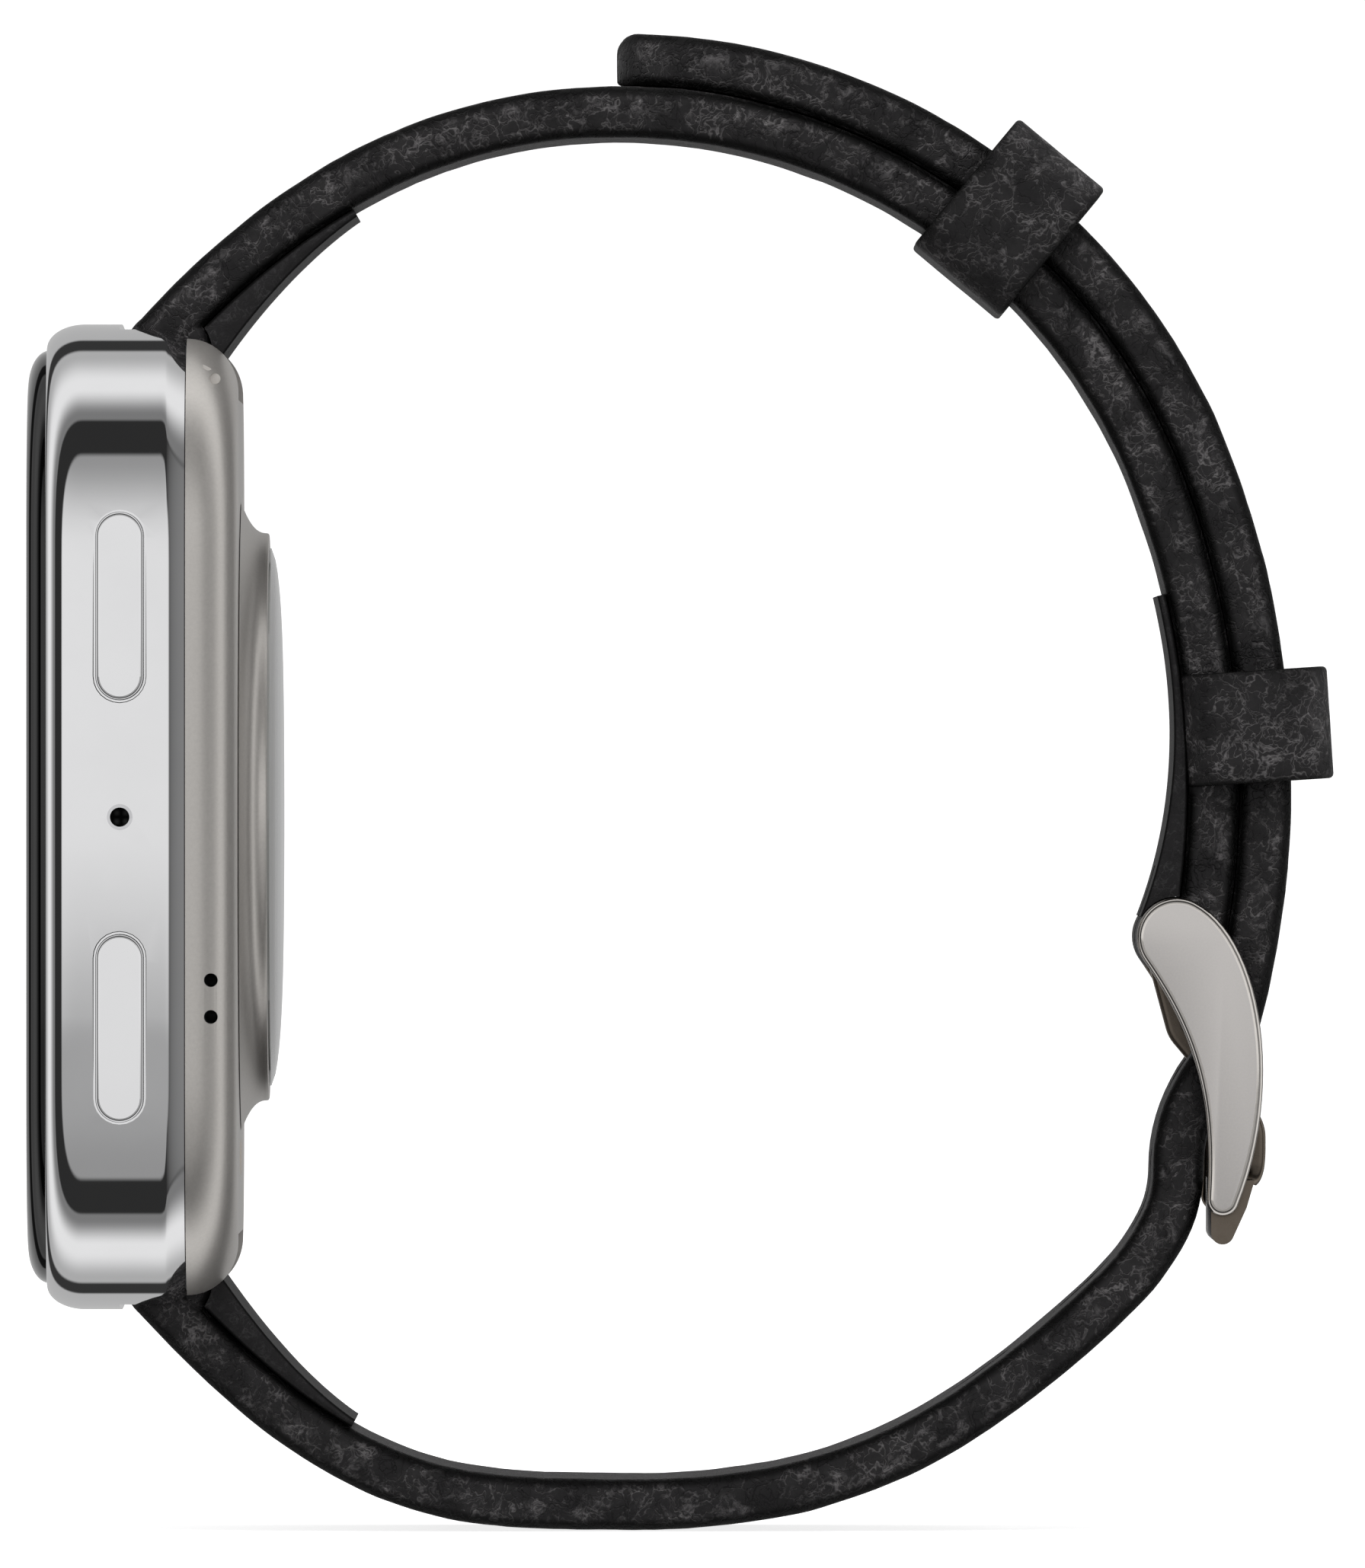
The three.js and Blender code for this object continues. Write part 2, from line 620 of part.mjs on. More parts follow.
function makeBezel() {
  const base = COVER_REAR + FIT;
  const skirt = (f, g) => [SENSOR_RIM + (SENSOR_RADIUS - SENSOR_RIM) * f, base + SENSOR_RISE * g];
  return turned([
    [SENSOR_NECK, SENSOR_FLOOR], [SENSOR_NECK, base], skirt(1, 0), skirt(0.55, 0.16), skirt(0.2, 0.5),
    [SENSOR_RIM, SENSOR_TOP - 0.1], [SENSOR_RIM - 0.1, SENSOR_TOP], [LENS_RADIUS + SLIDE_FIT, SENSOR_TOP],
    [LENS_RADIUS + SLIDE_FIT, LENS_SEAT], [SENSOR_NECK - 0.5, LENS_SEAT], [SENSOR_NECK - 0.5, SENSOR_FLOOR],
    [SENSOR_NECK, SENSOR_FLOOR],
  ], 'Y', [0, 0, 0], 32);
}

function makeLens() {
  const dome = [1, 0.85, 0.5, 0].map((f) =>
    [LENS_RADIUS * f, SENSOR_TOP + LENS_RISE * Math.sqrt(1 - 0.98 * f ** 4)]);
  return turned([[0, LENS_SEAT + FIT], [LENS_RADIUS, LENS_SEAT + FIT], ...dome], 'Y', [0, 0, 0], 28);
}

add('sensor_bezel', makeBezel(), COVER_FINISH);
add('sensor_lens', makeLens(), CERAMIC);
const sensorBoard = disc(SENSOR_NECK - 0.8, SENSOR_FLOOR, SENSOR_BOARD_BACK);
add('sensor_board', turned(sensorBoard, 'Y', [0, 0, 0]), BOARD_GREEN);
const chip = (x, half) =>
  box(x - half, x + half, SENSOR_BOARD_BACK + FIT, LENS_SEAT - 0.1, -half, half);
add('sensor_led', chip(0, 1.2), LED_RESIN);
add('photodiode_left', chip(-5.5, 1.5), PLASTIC);
add('photodiode_right', chip(5.5, 1.5), PLASTIC);
['left', 'right'].forEach((side, i) => {
  const [x, z] = contactPlaces[i];
  const shape = [
    [0, COVER_FLOOR - 0.45], [CONTACT_RADIUS + 0.3, COVER_FLOOR - 0.45],
    [CONTACT_RADIUS + 0.3, COVER_FLOOR - FIT],
    [CONTACT_RADIUS, COVER_FLOOR - FIT], [CONTACT_RADIUS, COVER_REAR], [0, COVER_REAR],
  ];
  add(`charge_contact_${side}`, turned(shape, 'Y', [x, 0, z], 14), GOLD);
});

// ---- inside the case ----
const BOARD_HALF = INNER_FLANK - 3.05;
const SCREW_X = BOARD_HALF - 1.5;
const SCREW_Z = CAVITY_TOP - 1.9;
const SCREW_SHANK = 0.6;
const SCREW_HEAD = 1.1;
const screwPlaces = [[-1, -1], [1, -1], [-1, 1], [1, 1]].map(([x, z]) => [x * SCREW_X, z * SCREW_Z]);
const SCREW_FOOT = CHASSIS_BACK - 0.5;

function drilled(body, radius, y0, y1) {
  return screwPlaces.reduce((rest, [x, z]) =>
    rest.subtract(turned(disc(radius, y0, y1), 'Y', [x, 0, z], 12)), body);
}

const chassis = caseSlab(CASE_WALL + 0.4, CHASSIS_FRONT, CHASSIS_BACK);
add('chassis', drilled(chassis, SCREW_SHANK + FIT, SCREW_FOOT - FIT, CHASSIS_BACK + 1), PLASTIC);
const board = box(-BOARD_HALF, BOARD_HALF, BOARD_FRONT, BOARD_BACK, 0.4 - CAVITY_TOP, CAVITY_TOP - 0.4);
add('main_board', drilled(board, SCREW_SHANK + FIT, BOARD_FRONT - 1, BOARD_BACK + 1), BOARD_GREEN);
screwPlaces.forEach(([x, z], i) => {
  const shape = [
    [0, SCREW_FOOT], [SCREW_SHANK, SCREW_FOOT],
    [SCREW_SHANK, BOARD_BACK + FIT], [SCREW_HEAD, BOARD_BACK + FIT],
    [SCREW_HEAD, BOARD_BACK + 0.5], [0, BOARD_BACK + 0.6],
  ];
  add(`chassis_screw_${i + 1}`, turned(shape, 'Y', [x, 0, z], 12), STEEL);
});
const STACK_FRONT = BOARD_BACK + 0.2;
const BATTERY_TOP = 6.3;
const MODULE_GAP = 0.8;
const MODULE_X = BOARD_HALF - 9.2;
const SHIELD_DEPTH = 1.3;
const SPEAKER_DEPTH = 2.6;
const SPEAKER_TOP = -4.5;
const MOTOR_RADIUS = 3.7;
const MOTOR_Z = 1.2;
add('battery', box(
  -BOARD_HALF, MODULE_X - MODULE_GAP, STACK_FRONT, COVER_FLOOR - 0.2, 4.4 - CAVITY_TOP, BATTERY_TOP,
), BATTERY_FOIL);
add('shield_can', box(
  3.2 - BOARD_HALF, BOARD_HALF - 3.2, STACK_FRONT, STACK_FRONT + SHIELD_DEPTH,
  BATTERY_TOP + 0.9, CAVITY_TOP - 1,
), STEEL);
add('speaker_module', box(
  MODULE_X, BOARD_HALF, STACK_FRONT, STACK_FRONT + SPEAKER_DEPTH, 3.6 - CAVITY_TOP, SPEAKER_TOP,
), PLASTIC);
add('vibration_motor', turned(
  disc(MOTOR_RADIUS, STACK_FRONT, STACK_FRONT + SPEAKER_DEPTH), 'Y', [MODULE_X + 4.6, 0, MOTOR_Z],
), STEEL);
const MIC_BACK = INNER_FLANK - 0.35;
const MIC_HALF = 0.9;
const MIC_REACH = 1.3;
add('microphone', box(
  MIC_BACK - 1.5, MIC_BACK, BUTTON_DEPTH_Y - MIC_HALF, BUTTON_DEPTH_Y + MIC_HALF, -MIC_REACH, MIC_REACH,
), PLASTIC);
const microphoneMesh = rodX(MIC_RADIUS + 0.4, MIC_BACK + FIT, INNER_FLANK - FIT, BUTTON_DEPTH_Y, 0, 16);
add('microphone_mesh', microphoneMesh, SPRING_STEEL);

// ---- buttons ----
const BRACKET_BACK = STEM_END - 1.85;
const CLIP_THICKNESS = 0.25;
const SWITCH_HALF = 2;
const PLUNGER_RADIUS = 0.5;
const CLIP_FACE = INNER_FLANK - FIT;

function makeCap(z) {
  const y = BUTTON_DEPTH_Y;
  const neck = band(STEM_RADIUS - 0.12, STEM_RADIUS + 1, CLIP_FACE - CLIP_THICKNESS - FIT, CLIP_FACE + FIT);
  return plateX(pill(BUTTON_WIDTH / 2, BUTTON_LENGTH / 2, y, z), CAP_BACK, CAP_FACE, 0.24)
    .add(rodX(STEM_RADIUS, STEM_END, CAP_BACK + 0.4, y, z))
    .subtract(turned(neck, 'X', [0, y, z], 16));
}

function makeSeal(z) {
  const middle = STEM_RADIUS + SLIDE_FIT + SEAL_SECTION / 2;
  const r = SEAL_SECTION / 2 - FIT;
  const at = INNER_FLANK + SEAL_DEPTH / 2;
  const profile = Array.from({ length: 7 }, (_, i) => {
    const a = (Math.PI * (i % 6)) / 3;
    return [middle + r * Math.cos(a), at + r * Math.sin(a)];
  });
  return turned(profile, 'X', [0, BUTTON_DEPTH_Y, z], 12);
}

['upper', 'lower'].forEach((which, i) => {
  const z = buttonCentres[i];
  const y = BUTTON_DEPTH_Y;
  const clip = band(STEM_RADIUS - 0.09, SEAL_BORE + 0.05, CLIP_FACE - CLIP_THICKNESS, CLIP_FACE);
  const body = box(
    BRACKET_BACK + 0.45, STEM_END - 0.75, y - 0.85, y + 0.85, z - SWITCH_HALF, z + SWITCH_HALF,
  );
  const plunger = rodX(PLUNGER_RADIUS, STEM_END - 1, STEM_END - BUTTON_TRAVEL - FIT, y, z, 12);
  add(`${which}_button`, makeCap(z), STEEL);
  add(`${which}_button_clip`, turned(clip, 'X', [0, y, z], 14), SPRING_STEEL);
  add(`${which}_button_seal`, makeSeal(z), RUBBER);
  add(`${which}_button_switch`, body.add(plunger), PLASTIC);
});
const BRACKET_TOP = BOARD_BACK + 1.2;
const BRACKET_HALF = BUTTON_OFFSET_Z + SWITCH_HALF + 2.2;
add('button_bracket', box(
  BRACKET_BACK, BRACKET_BACK + 0.4, CHASSIS_BACK + FIT, BRACKET_TOP, -BRACKET_HALF, BRACKET_HALF,
), SPRING_STEEL);

// ---- quick-release spring bars ----
const BAR_HALF = STRAP_LUG_WIDTH / 2 - 0.3;
const BAR_BORE_FLOOR = 2;
const PIN_TAIL = 6.2;
const LEVER_X = 7.2;
const LEVER_RADIUS = 0.36;
const LEVER_REACH = 2.5;
const TIP_REACH = NOTCH_HALF + 0.9;

const lugPlaces = [
  { name: 'upper', y: LUG_BAR_Y, z: LUG_BAR_Z, heading: LUG_HEADING },
  { name: 'lower', y: LUG_BAR_Y, z: -LUG_BAR_Z, heading: LOWER_HEADING },
];

class Coil extends THREE.Curve {
  constructor(radius, x0, x1, turns, y, z) {
    super();
    Object.assign(this, { radius, x0, x1, turns, y, z });
  }

  getPoint(t, target = new THREE.Vector3()) {
    const a = 2 * Math.PI * this.turns * t;
    const x = this.x0 + (this.x1 - this.x0) * t;
    return target.set(x, this.y + this.radius * Math.cos(a), this.z + this.radius * Math.sin(a));
  }
}

function makeCoil(place) {
  const wire = 0.09;
  const section = new THREE.Shape().absarc(0, 0, wire, 0, 2 * Math.PI, false);
  const path = new Coil(BAR_BORE - wire - FIT, BAR_BORE_FLOOR + 0.12, PIN_TAIL - 0.12, 4, place.y, place.z);
  const geometry = new THREE.ExtrudeGeometry(section, {
    steps: 26, curveSegments: 3, bevelEnabled: false, extrudePath: path,
  });
  return solid(geometry);
}

function leverSlot(place, half, from) {
  const x = [LEVER_X - RELEASE_TRAVEL - half, LEVER_X + half];
  return block(place, [-half, half], [-LEVER_REACH - 1, from], x);
}

for (const place of lugPlaces) {
  const { name, y, z } = place;
  const tube = rodX(BAR_RADIUS, -BAR_HALF, BAR_HALF, y, z)
    .add(rodX(TIP_RADIUS, -TIP_REACH, -BAR_HALF + 1, y, z, 12))
    .subtract(rodX(BAR_BORE, BAR_BORE_FLOOR, BAR_HALF + 1, y, z, 16))
    .subtract(leverSlot(place, LEVER_RADIUS + SLIDE_FIT, 0));
  const lever = [[0, -LEVER_REACH], [LEVER_RADIUS, -LEVER_REACH], [LEVER_RADIUS, -0.1], [0, -0.1]];
  const post = new THREE.LatheGeometry(lever.map(([r, h]) => new THREE.Vector2(r, h)), 12);
  post.rotateX(radians(place.heading + 90)).translate(LEVER_X, y, z);
  const release = rodX(BAR_BORE - SLIDE_FIT, PIN_TAIL, BAR_HALF - RELEASE_TRAVEL, y, z, 16)
    .add(rodX(TIP_RADIUS, BAR_HALF - RELEASE_TRAVEL - 1, TIP_REACH, y, z, 12))
    .add(solid(post));
  add(`${name}_spring_bar`, tube, SPRING_STEEL);
  add(`${name}_release_pin`, release, SPRING_STEEL);
  add(`${name}_bar_spring`, makeCoil(place), SPRING_STEEL);
}

// ---- leather ----
const TANG_SLOT = TANG_WIDTH / 2 + LEATHER_FIT;
const [upperLug, lowerLug] = lugPlaces;
const upperEnd = upperRoute.end;
const fixedKeeperPlace = upperRoute.at(
  upperEnd.s - (SIDE_RADIUS - LAYER_OFFSET) * radians(PIN_ARC - FIXED_KEEPER_ARC),
);

function lugLoop(body, place) {
  const half = STRAP_LUG_WIDTH / 2;
  return body
    .add(rodX(LUG_LOOP, -half, half, place.y, place.z, 18))
    .subtract(rodX(BAR_RADIUS + LOOP_FIT, -half - 1, half + 1, place.y, place.z, 16))
    .subtract(leverSlot(place, LEVER_RADIUS + LEATHER_FIT, 0));
}

function tangSlot() {
  return rodX(PIN_LOOP + 1.5, -TANG_SLOT, TANG_SLOT, pin.y, pin.z);
}

function makeUpperStrap() {
  const half = STRAP_WIDTH / 2;
  const groove = KEEPER_LENGTH / 2 + 0.15;
  const lining = KEEPER_LINING + 0.2 - HALF_THICKNESS;
  const body = strapBand(upperRoute.stations, lugHalfWidth, () => -HALF_THICKNESS, () => HALF_THICKNESS);
  return lugLoop(body, upperLug)
    .add(rodX(PIN_LOOP, -half, half, pin.y, pin.z, 18))
    .subtract(rodX(PIN_RADIUS + LOOP_FIT, -half - 1, half + 1, pin.y, pin.z))
    .subtract(block(fixedKeeperPlace, [-groove, groove], [-STRAP_THICKNESS, lining], [-half - 1, half + 1]))
    .subtract(tangSlot());
}

function makeLowerStrap() {
  const total = lowerRoute.end.s;
  const tip = [0, 0.06, 0.16, 0.32, 0.55, 0.8, 1].map((f) => lowerRoute.at(Math.max(1e-6, TIP_LENGTH * f)));
  const rest = lowerRoute.stations.filter((station) => station.s > TIP_LENGTH + 0.5);
  const halfWidthAt = (s) => {
    const f = Math.min(1, s / TIP_LENGTH);
    return lugHalfWidth(total - s) * (0.35 + 0.65 * Math.sqrt(1 - (1 - f) ** 2));
  };
  let body = strapBand([...tip, ...rest], halfWidthAt, () => -HALF_THICKNESS, () => HALF_THICKNESS);
  for (let i = 0; i < HOLE_COUNT; i++) {
    const place = lowerRoute.at(TANG_CROSSING + (i - HOLES_PAST_TANG) * HOLE_PITCH);
    const hole = plateOutward(pill(HOLE_WIDTH / 2, HOLE_LENGTH / 2), place, STRAP_THICKNESS);
    body = body.subtract(hole);
  }
  return lugLoop(body, lowerLug);
}

function makeTab(route, from, to, rootThickness, rootIsLast, taper) {
  const length = Math.abs(to - from);
  const face = -HALF_THICKNESS - TAB_GAP;
  const thickness = (s) => {
    const f = rootIsLast ? (s - from) / length : (to - s) / length;
    return TAB_TIP + (rootThickness - TAB_TIP) * Math.max(0, f) ** taper;
  };
  const total = route.end.s;
  const half = (s) => lugHalfWidth(route === upperRoute ? s : total - s);
  return strapBand(stretch(route, from, to, 8), half, (s) => face - thickness(s), () => face);
}

const LUG_TAB_ROOT = 2 * LUG_LOOP - STRAP_THICKNESS;
const PIN_TAB_ROOT = PIN_LOOP + PIN_DROP - HALF_THICKNESS;
const upperLugTab = makeTab(upperRoute, 0.9, LUG_TAB_LENGTH, LUG_TAB_ROOT, false, 1.2);
const lowerTotal = lowerRoute.end.s;
const lowerLugTab = makeTab(
  lowerRoute, lowerTotal - LUG_TAB_LENGTH, lowerTotal - 0.9, LUG_TAB_ROOT, true, 1.2,
);
const buckleTab = makeTab(
  upperRoute, upperEnd.s - BUCKLE_TAB_LENGTH, upperEnd.s - 0.6, PIN_TAB_ROOT, true, 2.4,
);
const lugLoopCut = (place) => rodX(LUG_LOOP + LOOP_FIT, -15, 15, place.y, place.z, 18);

add('upper_strap', makeUpperStrap(), LEATHER);
add('lower_strap', makeLowerStrap(), LEATHER);
add('upper_lug_tab', upperLugTab.subtract(lugLoopCut(upperLug)), LINING);
add('lower_lug_tab', lowerLugTab.subtract(lugLoopCut(lowerLug)), LINING);
add('buckle_tab', buckleTab
  .subtract(rodX(PIN_LOOP + LOOP_FIT, -15, 15, pin.y, pin.z, 18))
  .subtract(tangSlot()), LINING);

// ---- keepers: closed leather bands round both layers of strap ----
function makeKeeper(place, innerFace) {
  const outerFace = HALF_THICKNESS + LAYER_GAP + STRAP_THICKNESS + KEEPER_HEADROOM + KEEPER_WALL;
  const middle = (innerFace + outerFace) / 2;
  const halfHeight = (outerFace - innerFace) / 2;
  const shape = roundedRectangle(KEEPER_HALF + KEEPER_WALL, halfHeight, KEEPER_CORNER);
  const opening = new THREE.Path();
  const rise = (KEEPER_LINING - KEEPER_WALL) / 2;
  const openHalf = halfHeight - (KEEPER_LINING + KEEPER_WALL) / 2;
  roundedRectangle(KEEPER_HALF, openHalf, KEEPER_INNER_CORNER, opening);
  shape.holes.push(new THREE.Path(opening.getPoints(5).map((p) => new THREE.Vector2(p.x, p.y + rise))));
  const foot = offset(place, middle);
  return plateAcross(shape, { ...place, y: foot.y, z: foot.z }, KEEPER_LENGTH);
}

const keeperAngle = radians(FREE_KEEPER_ANGLE);
const freeKeeperPlace = {
  y: HOOP_Y + UPPER_RADIUS * Math.cos(keeperAngle),
  z: HOOP_Z + UPPER_RADIUS * Math.sin(keeperAngle),
  heading: FREE_KEEPER_ANGLE - 90,
};
add('fixed_keeper', makeKeeper(fixedKeeperPlace, LOOP_FIT - HALF_THICKNESS), LEATHER);
add('free_keeper', makeKeeper(freeKeeperPlace, -HALF_THICKNESS - KEEPER_SLACK - KEEPER_LINING), LEATHER);

// ---- buckle, drawn from the centre of its pin ----
// A thicker strap carries the buckle's foot and the tang's lean outwards with it.
const DRAWN_THICKNESS = 2.25;
const FOOT_SHIFT = 1.5 * (STRAP_THICKNESS - DRAWN_THICKNESS);
const TANG_HEADING = -75 + 7.1 * (STRAP_THICKNESS - DRAWN_THICKNESS);
const fromPin = (dy, dz) => [pin.y + dy, pin.z + dz];

function cheekShape() {
  const shape = new THREE.Shape();
  shape.absarc(pin.y, pin.z, PIN_LOOP, radians(62), radians(215), false);
  shape.bezierCurveTo(...fromPin(0.4, -3.65), ...fromPin(1.65, -6.4), ...fromPin(1.3 + FOOT_SHIFT, -11.38));
  shape.absarc(...fromPin(2.0 + FOOT_SHIFT, -11.44), 0.7, radians(175), radians(338), false);
  shape.bezierCurveTo(...fromPin(4.8, -6.3), ...fromPin(3.65, 0.05), ...fromPin(0.82, 1.55));
  return shape;
}

function endBarShape() {
  const shape = new THREE.Shape();
  shape.moveTo(...fromPin(1.5 + FOOT_SHIFT, -10.6));
  shape.lineTo(...fromPin(1.5 + FOOT_SHIFT, -12.9));
  shape.absarc(...fromPin(2.0 + FOOT_SHIFT, -12.9), 0.5, Math.PI, radians(335), false);
  shape.lineTo(...fromPin(3.05 + FOOT_SHIFT, -11.8));
  shape.lineTo(...fromPin(3.4 + FOOT_SHIFT, -10.6));
  shape.closePath();
  return shape;
}

const tangRoute = new Route(...fromPin(-0.68, -1.12), TANG_HEADING)
  .line(2.9)
  .arc(1.2, -25, 0.3)
  .line(4.5)
  .arc(1.5, 40, 0.4)
  .line(0.5)
  .arc(6, 15, 0.8);

function makeTang() {
  const half = TANG_WIDTH / 2;
  const thick = TANG_THICKNESS / 2;
  const sections = tangRoute.stations.map((st) => bandSection(st, half, -thick, thick, 0.18));
  return loft(sections)
    .add(rodX(PIN_RADIUS + 0.6, -half, half, pin.y, pin.z))
    .subtract(rodX(PIN_RADIUS + SLIDE_FIT, -half - 1, half + 1, pin.y, pin.z));
}

function makeBuckle() {
  const cheek = cheekShape();
  const groove = TANG_WIDTH / 2 + TURN_FIT;
  const seat = tangRoute.end;
  const clear = TANG_THICKNESS / 2 + 0.06;
  return plateX(cheek, CHEEK_INNER, CHEEK_OUTER, 0.2)
    .add(plateX(cheek, -CHEEK_OUTER, -CHEEK_INNER, 0.2))
    .add(plateX(endBarShape(), -CHEEK_INNER - 0.5, CHEEK_INNER + 0.5))
    .subtract(block(seat, [-4, 4], [-clear, 4], [-groove, groove]))
    .subtract(rodX(PIN_RADIUS + FIT, -CHEEK_INNER - 1, CHEEK_INNER + 1, pin.y, pin.z));
}

add('buckle_frame', makeBuckle(), BUCKLE_STEEL);
add('buckle_pin', rodX(PIN_RADIUS, -CHEEK_INNER - 0.9, CHEEK_INNER + 0.9, pin.y, pin.z), SPRING_STEEL);
add('tang', makeTang(), BUCKLE_STEEL);

export default watch;
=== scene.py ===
import math

import bmesh
import bpy
import numpy as np
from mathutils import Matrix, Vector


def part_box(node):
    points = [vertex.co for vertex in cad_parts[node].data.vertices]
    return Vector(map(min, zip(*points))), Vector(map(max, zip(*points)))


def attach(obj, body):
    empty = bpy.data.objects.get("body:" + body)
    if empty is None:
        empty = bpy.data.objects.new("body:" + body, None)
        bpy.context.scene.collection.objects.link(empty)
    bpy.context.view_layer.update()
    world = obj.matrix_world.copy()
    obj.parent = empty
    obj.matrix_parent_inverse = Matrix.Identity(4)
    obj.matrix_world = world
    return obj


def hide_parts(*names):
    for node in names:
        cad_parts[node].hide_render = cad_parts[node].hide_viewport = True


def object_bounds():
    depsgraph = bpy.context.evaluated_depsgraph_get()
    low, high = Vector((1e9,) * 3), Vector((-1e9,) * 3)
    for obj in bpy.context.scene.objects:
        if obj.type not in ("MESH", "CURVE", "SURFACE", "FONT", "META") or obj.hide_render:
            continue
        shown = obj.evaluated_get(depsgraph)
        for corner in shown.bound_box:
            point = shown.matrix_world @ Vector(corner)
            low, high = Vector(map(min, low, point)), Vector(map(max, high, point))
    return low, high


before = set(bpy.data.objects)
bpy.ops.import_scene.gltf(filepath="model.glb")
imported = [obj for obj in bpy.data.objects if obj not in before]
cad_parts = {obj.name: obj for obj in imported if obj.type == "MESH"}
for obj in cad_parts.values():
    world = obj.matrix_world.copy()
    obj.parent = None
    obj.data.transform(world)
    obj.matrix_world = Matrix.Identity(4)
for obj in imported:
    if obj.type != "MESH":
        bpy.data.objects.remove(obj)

bl_info = {
    "name": "Leather strap smartwatch",
    "version": (1, 0, 0),
    "blender": (4, 5, 0),
    "location": "3D View > Sidebar > Watch",
    "description": "Fine surfaces and finishes for a smartwatch on a buckled leather strap",
    "category": "Object",
}

MM = 0.001
CAD_BOX = [list(corner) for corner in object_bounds()]


def corners(node):
    """Lowest and highest corner of a CAD node, in millimetres."""
    low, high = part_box(node)
    return np.array(low) / MM, np.array(high) / MM


# ---- sizes read off the frame, in millimetres ----
CASE_LOW, CASE_HIGH = corners("case_frame")
COVER_LOW, COVER_HIGH = corners("back_cover")
GLASS_HIGH = corners("cover_glass")[1]
BEZEL_LOW, BEZEL_HIGH = corners("sensor_bezel")
LENS_LOW, LENS_HIGH = corners("sensor_lens")
CAP_LOW, CAP_HIGH = corners("upper_button")
FLANK = CASE_HIGH[0]
CASE_TOP = CASE_HIGH[2]
PIN = sum(corners("buckle_pin")) / 2
BAR = sum(corners("upper_spring_bar")) / 2
BUTTON = (CAP_LOW + CAP_HIGH) / 2
STRAP_HALF_LUG = corners("upper_strap")[1][0]
CHEEK_OUTER = corners("buckle_frame")[1][0]
TANG_HALF = corners("tang")[1][0]
KEEPER_HALF_OUT = corners("free_keeper")[1][0]

# ---- case shape ----
CORNER = 10.0
CORNER_POWER = 0.8
END_CROWN = 0.6
FLANK_CROWN = 0.28
FRONT_BEVEL = 1.6
FRONT_INSET = 0.95
REAR_BEVEL = 0.86
REAR_INSET = 0.36
GLASS_INSET = FLANK - GLASS_HIGH[0]
GLASS_EDGE = 1.5
WALL = 2.0
COVER_ROUND = 2.3
NOTCH_HALF = 10.3
NOTCH_FRONT = 4.0
NOTCH_FLOOR = 18.2
CAVITY_TOP = 16.9
CAVITY_FRONT = 3.2
SEAT = CASE_LOW[1] + 0.54
CAVITY_DEEP = 2.26
POCKET_FLOOR = 17.36
POCKET_GAP = 0.09
POCKET_FLARE = 0.17
MICROPHONE = 0.42
LUG_HOLE = 0.48
CONTACT_HOLE = 0.84
VENT_ROW = CASE_HIGH[1] + 1.16
# Each vent: depth, height, where its bore starts on X, and radius.
VENTS = (
    (VENT_ROW, -7.09, 12, 0.3), (VENT_ROW, -8.69, 12, 0.3),
    (VENT_ROW - 0.16, CASE_TOP - 1.9, 13.4, 0.24), (VENT_ROW + 0.14, CASE_TOP - 2.5, 13.4, 0.24),
)
LENS_RADIUS = LENS_HIGH[0]
SENSOR_NECK = LENS_RADIUS - 0.3

# ---- strap, keepers and buckle ----
HALF_THICK = 1.125
STRAP_HALF = 9.2
TAPER = 20.0
LOOP = 1.9
BAR_BORE = 0.95
LUG_HEADING = 48.0
HOOP = (25.7, 5.54)
UPPER_RADIUS = 25.265
LAYER = 2.35
PIN_LOOP = 1.75
PIN_BORE = 0.8
TANG_ROOM = 3.25
TANG_CROSSING_AFTER = 2.3
HOLE_PITCH = 6.0
HOLE_HALF = (1.15, 1.9)
TIP_LENGTH = 7.0
KEEPER_LENGTH = 4.9
KEEPER_WALL = 0.95
KEEPER_FLOOR = 0.62
KEEPER_CORNER = 1.75
KEEPER_OUT = 5.175
KEEPER_GROOVE = 2.33
FIXED_KEEPER_RADIUS = 37.525
FIXED_KEEPER_TURN = 14.1
FREE_KEEPER_ANGLE = 50.3
CHEEK = 1.6
WELD = 2e-6

# ---- view, in millimetres ----
AIM = (14.0, 28.57, 1.44)
SEEN = 68.32


def outline(inset, steps=14):
    """Case outline at an inset, as an (n, 2) array of X and Z.

    Each corner is the superellipse x = c cos(t)^0.8, z = c sin(t)^0.8 set into the
    rounded rectangle. The ends then sink by 0.6 (x / half width)^2 and the flanks by
    0.28 (z / half height)^2.
    """
    a, b, c = FLANK - inset, CASE_TOP - inset, CORNER - inset
    t = np.linspace(0, math.pi / 2, steps + 1)
    x = a - c + c * np.cos(t).clip(0) ** CORNER_POWER
    z = b - c + c * np.sin(t) ** CORNER_POWER
    across = np.linspace(a - c, c - a, 9)[1:-1]
    down = np.linspace(b - c, c - b, 11)[1:-1]
    half_x = np.concatenate([x, across, -x[::-1], np.full(9, -a)])
    half_z = np.concatenate([z, np.full(7, b), z[::-1], down])
    x = np.concatenate([half_x, -half_x])
    z = np.concatenate([half_z, -half_z])
    return np.stack([x - np.sign(x) * FLANK_CROWN * (z / CASE_TOP) ** 2,
                     z - np.sign(z) * END_CROWN * (x / FLANK) ** 2], -1)


def pill(half_width, half_length, steps=12):
    """Rounded slot outline about the origin: two half circles joined by straight sides."""
    t = np.linspace(0, math.pi, steps + 1)
    reach = half_length - half_width
    top = np.stack([half_width * np.cos(t), reach + half_width * np.sin(t)], -1)
    return np.concatenate([top, -top])


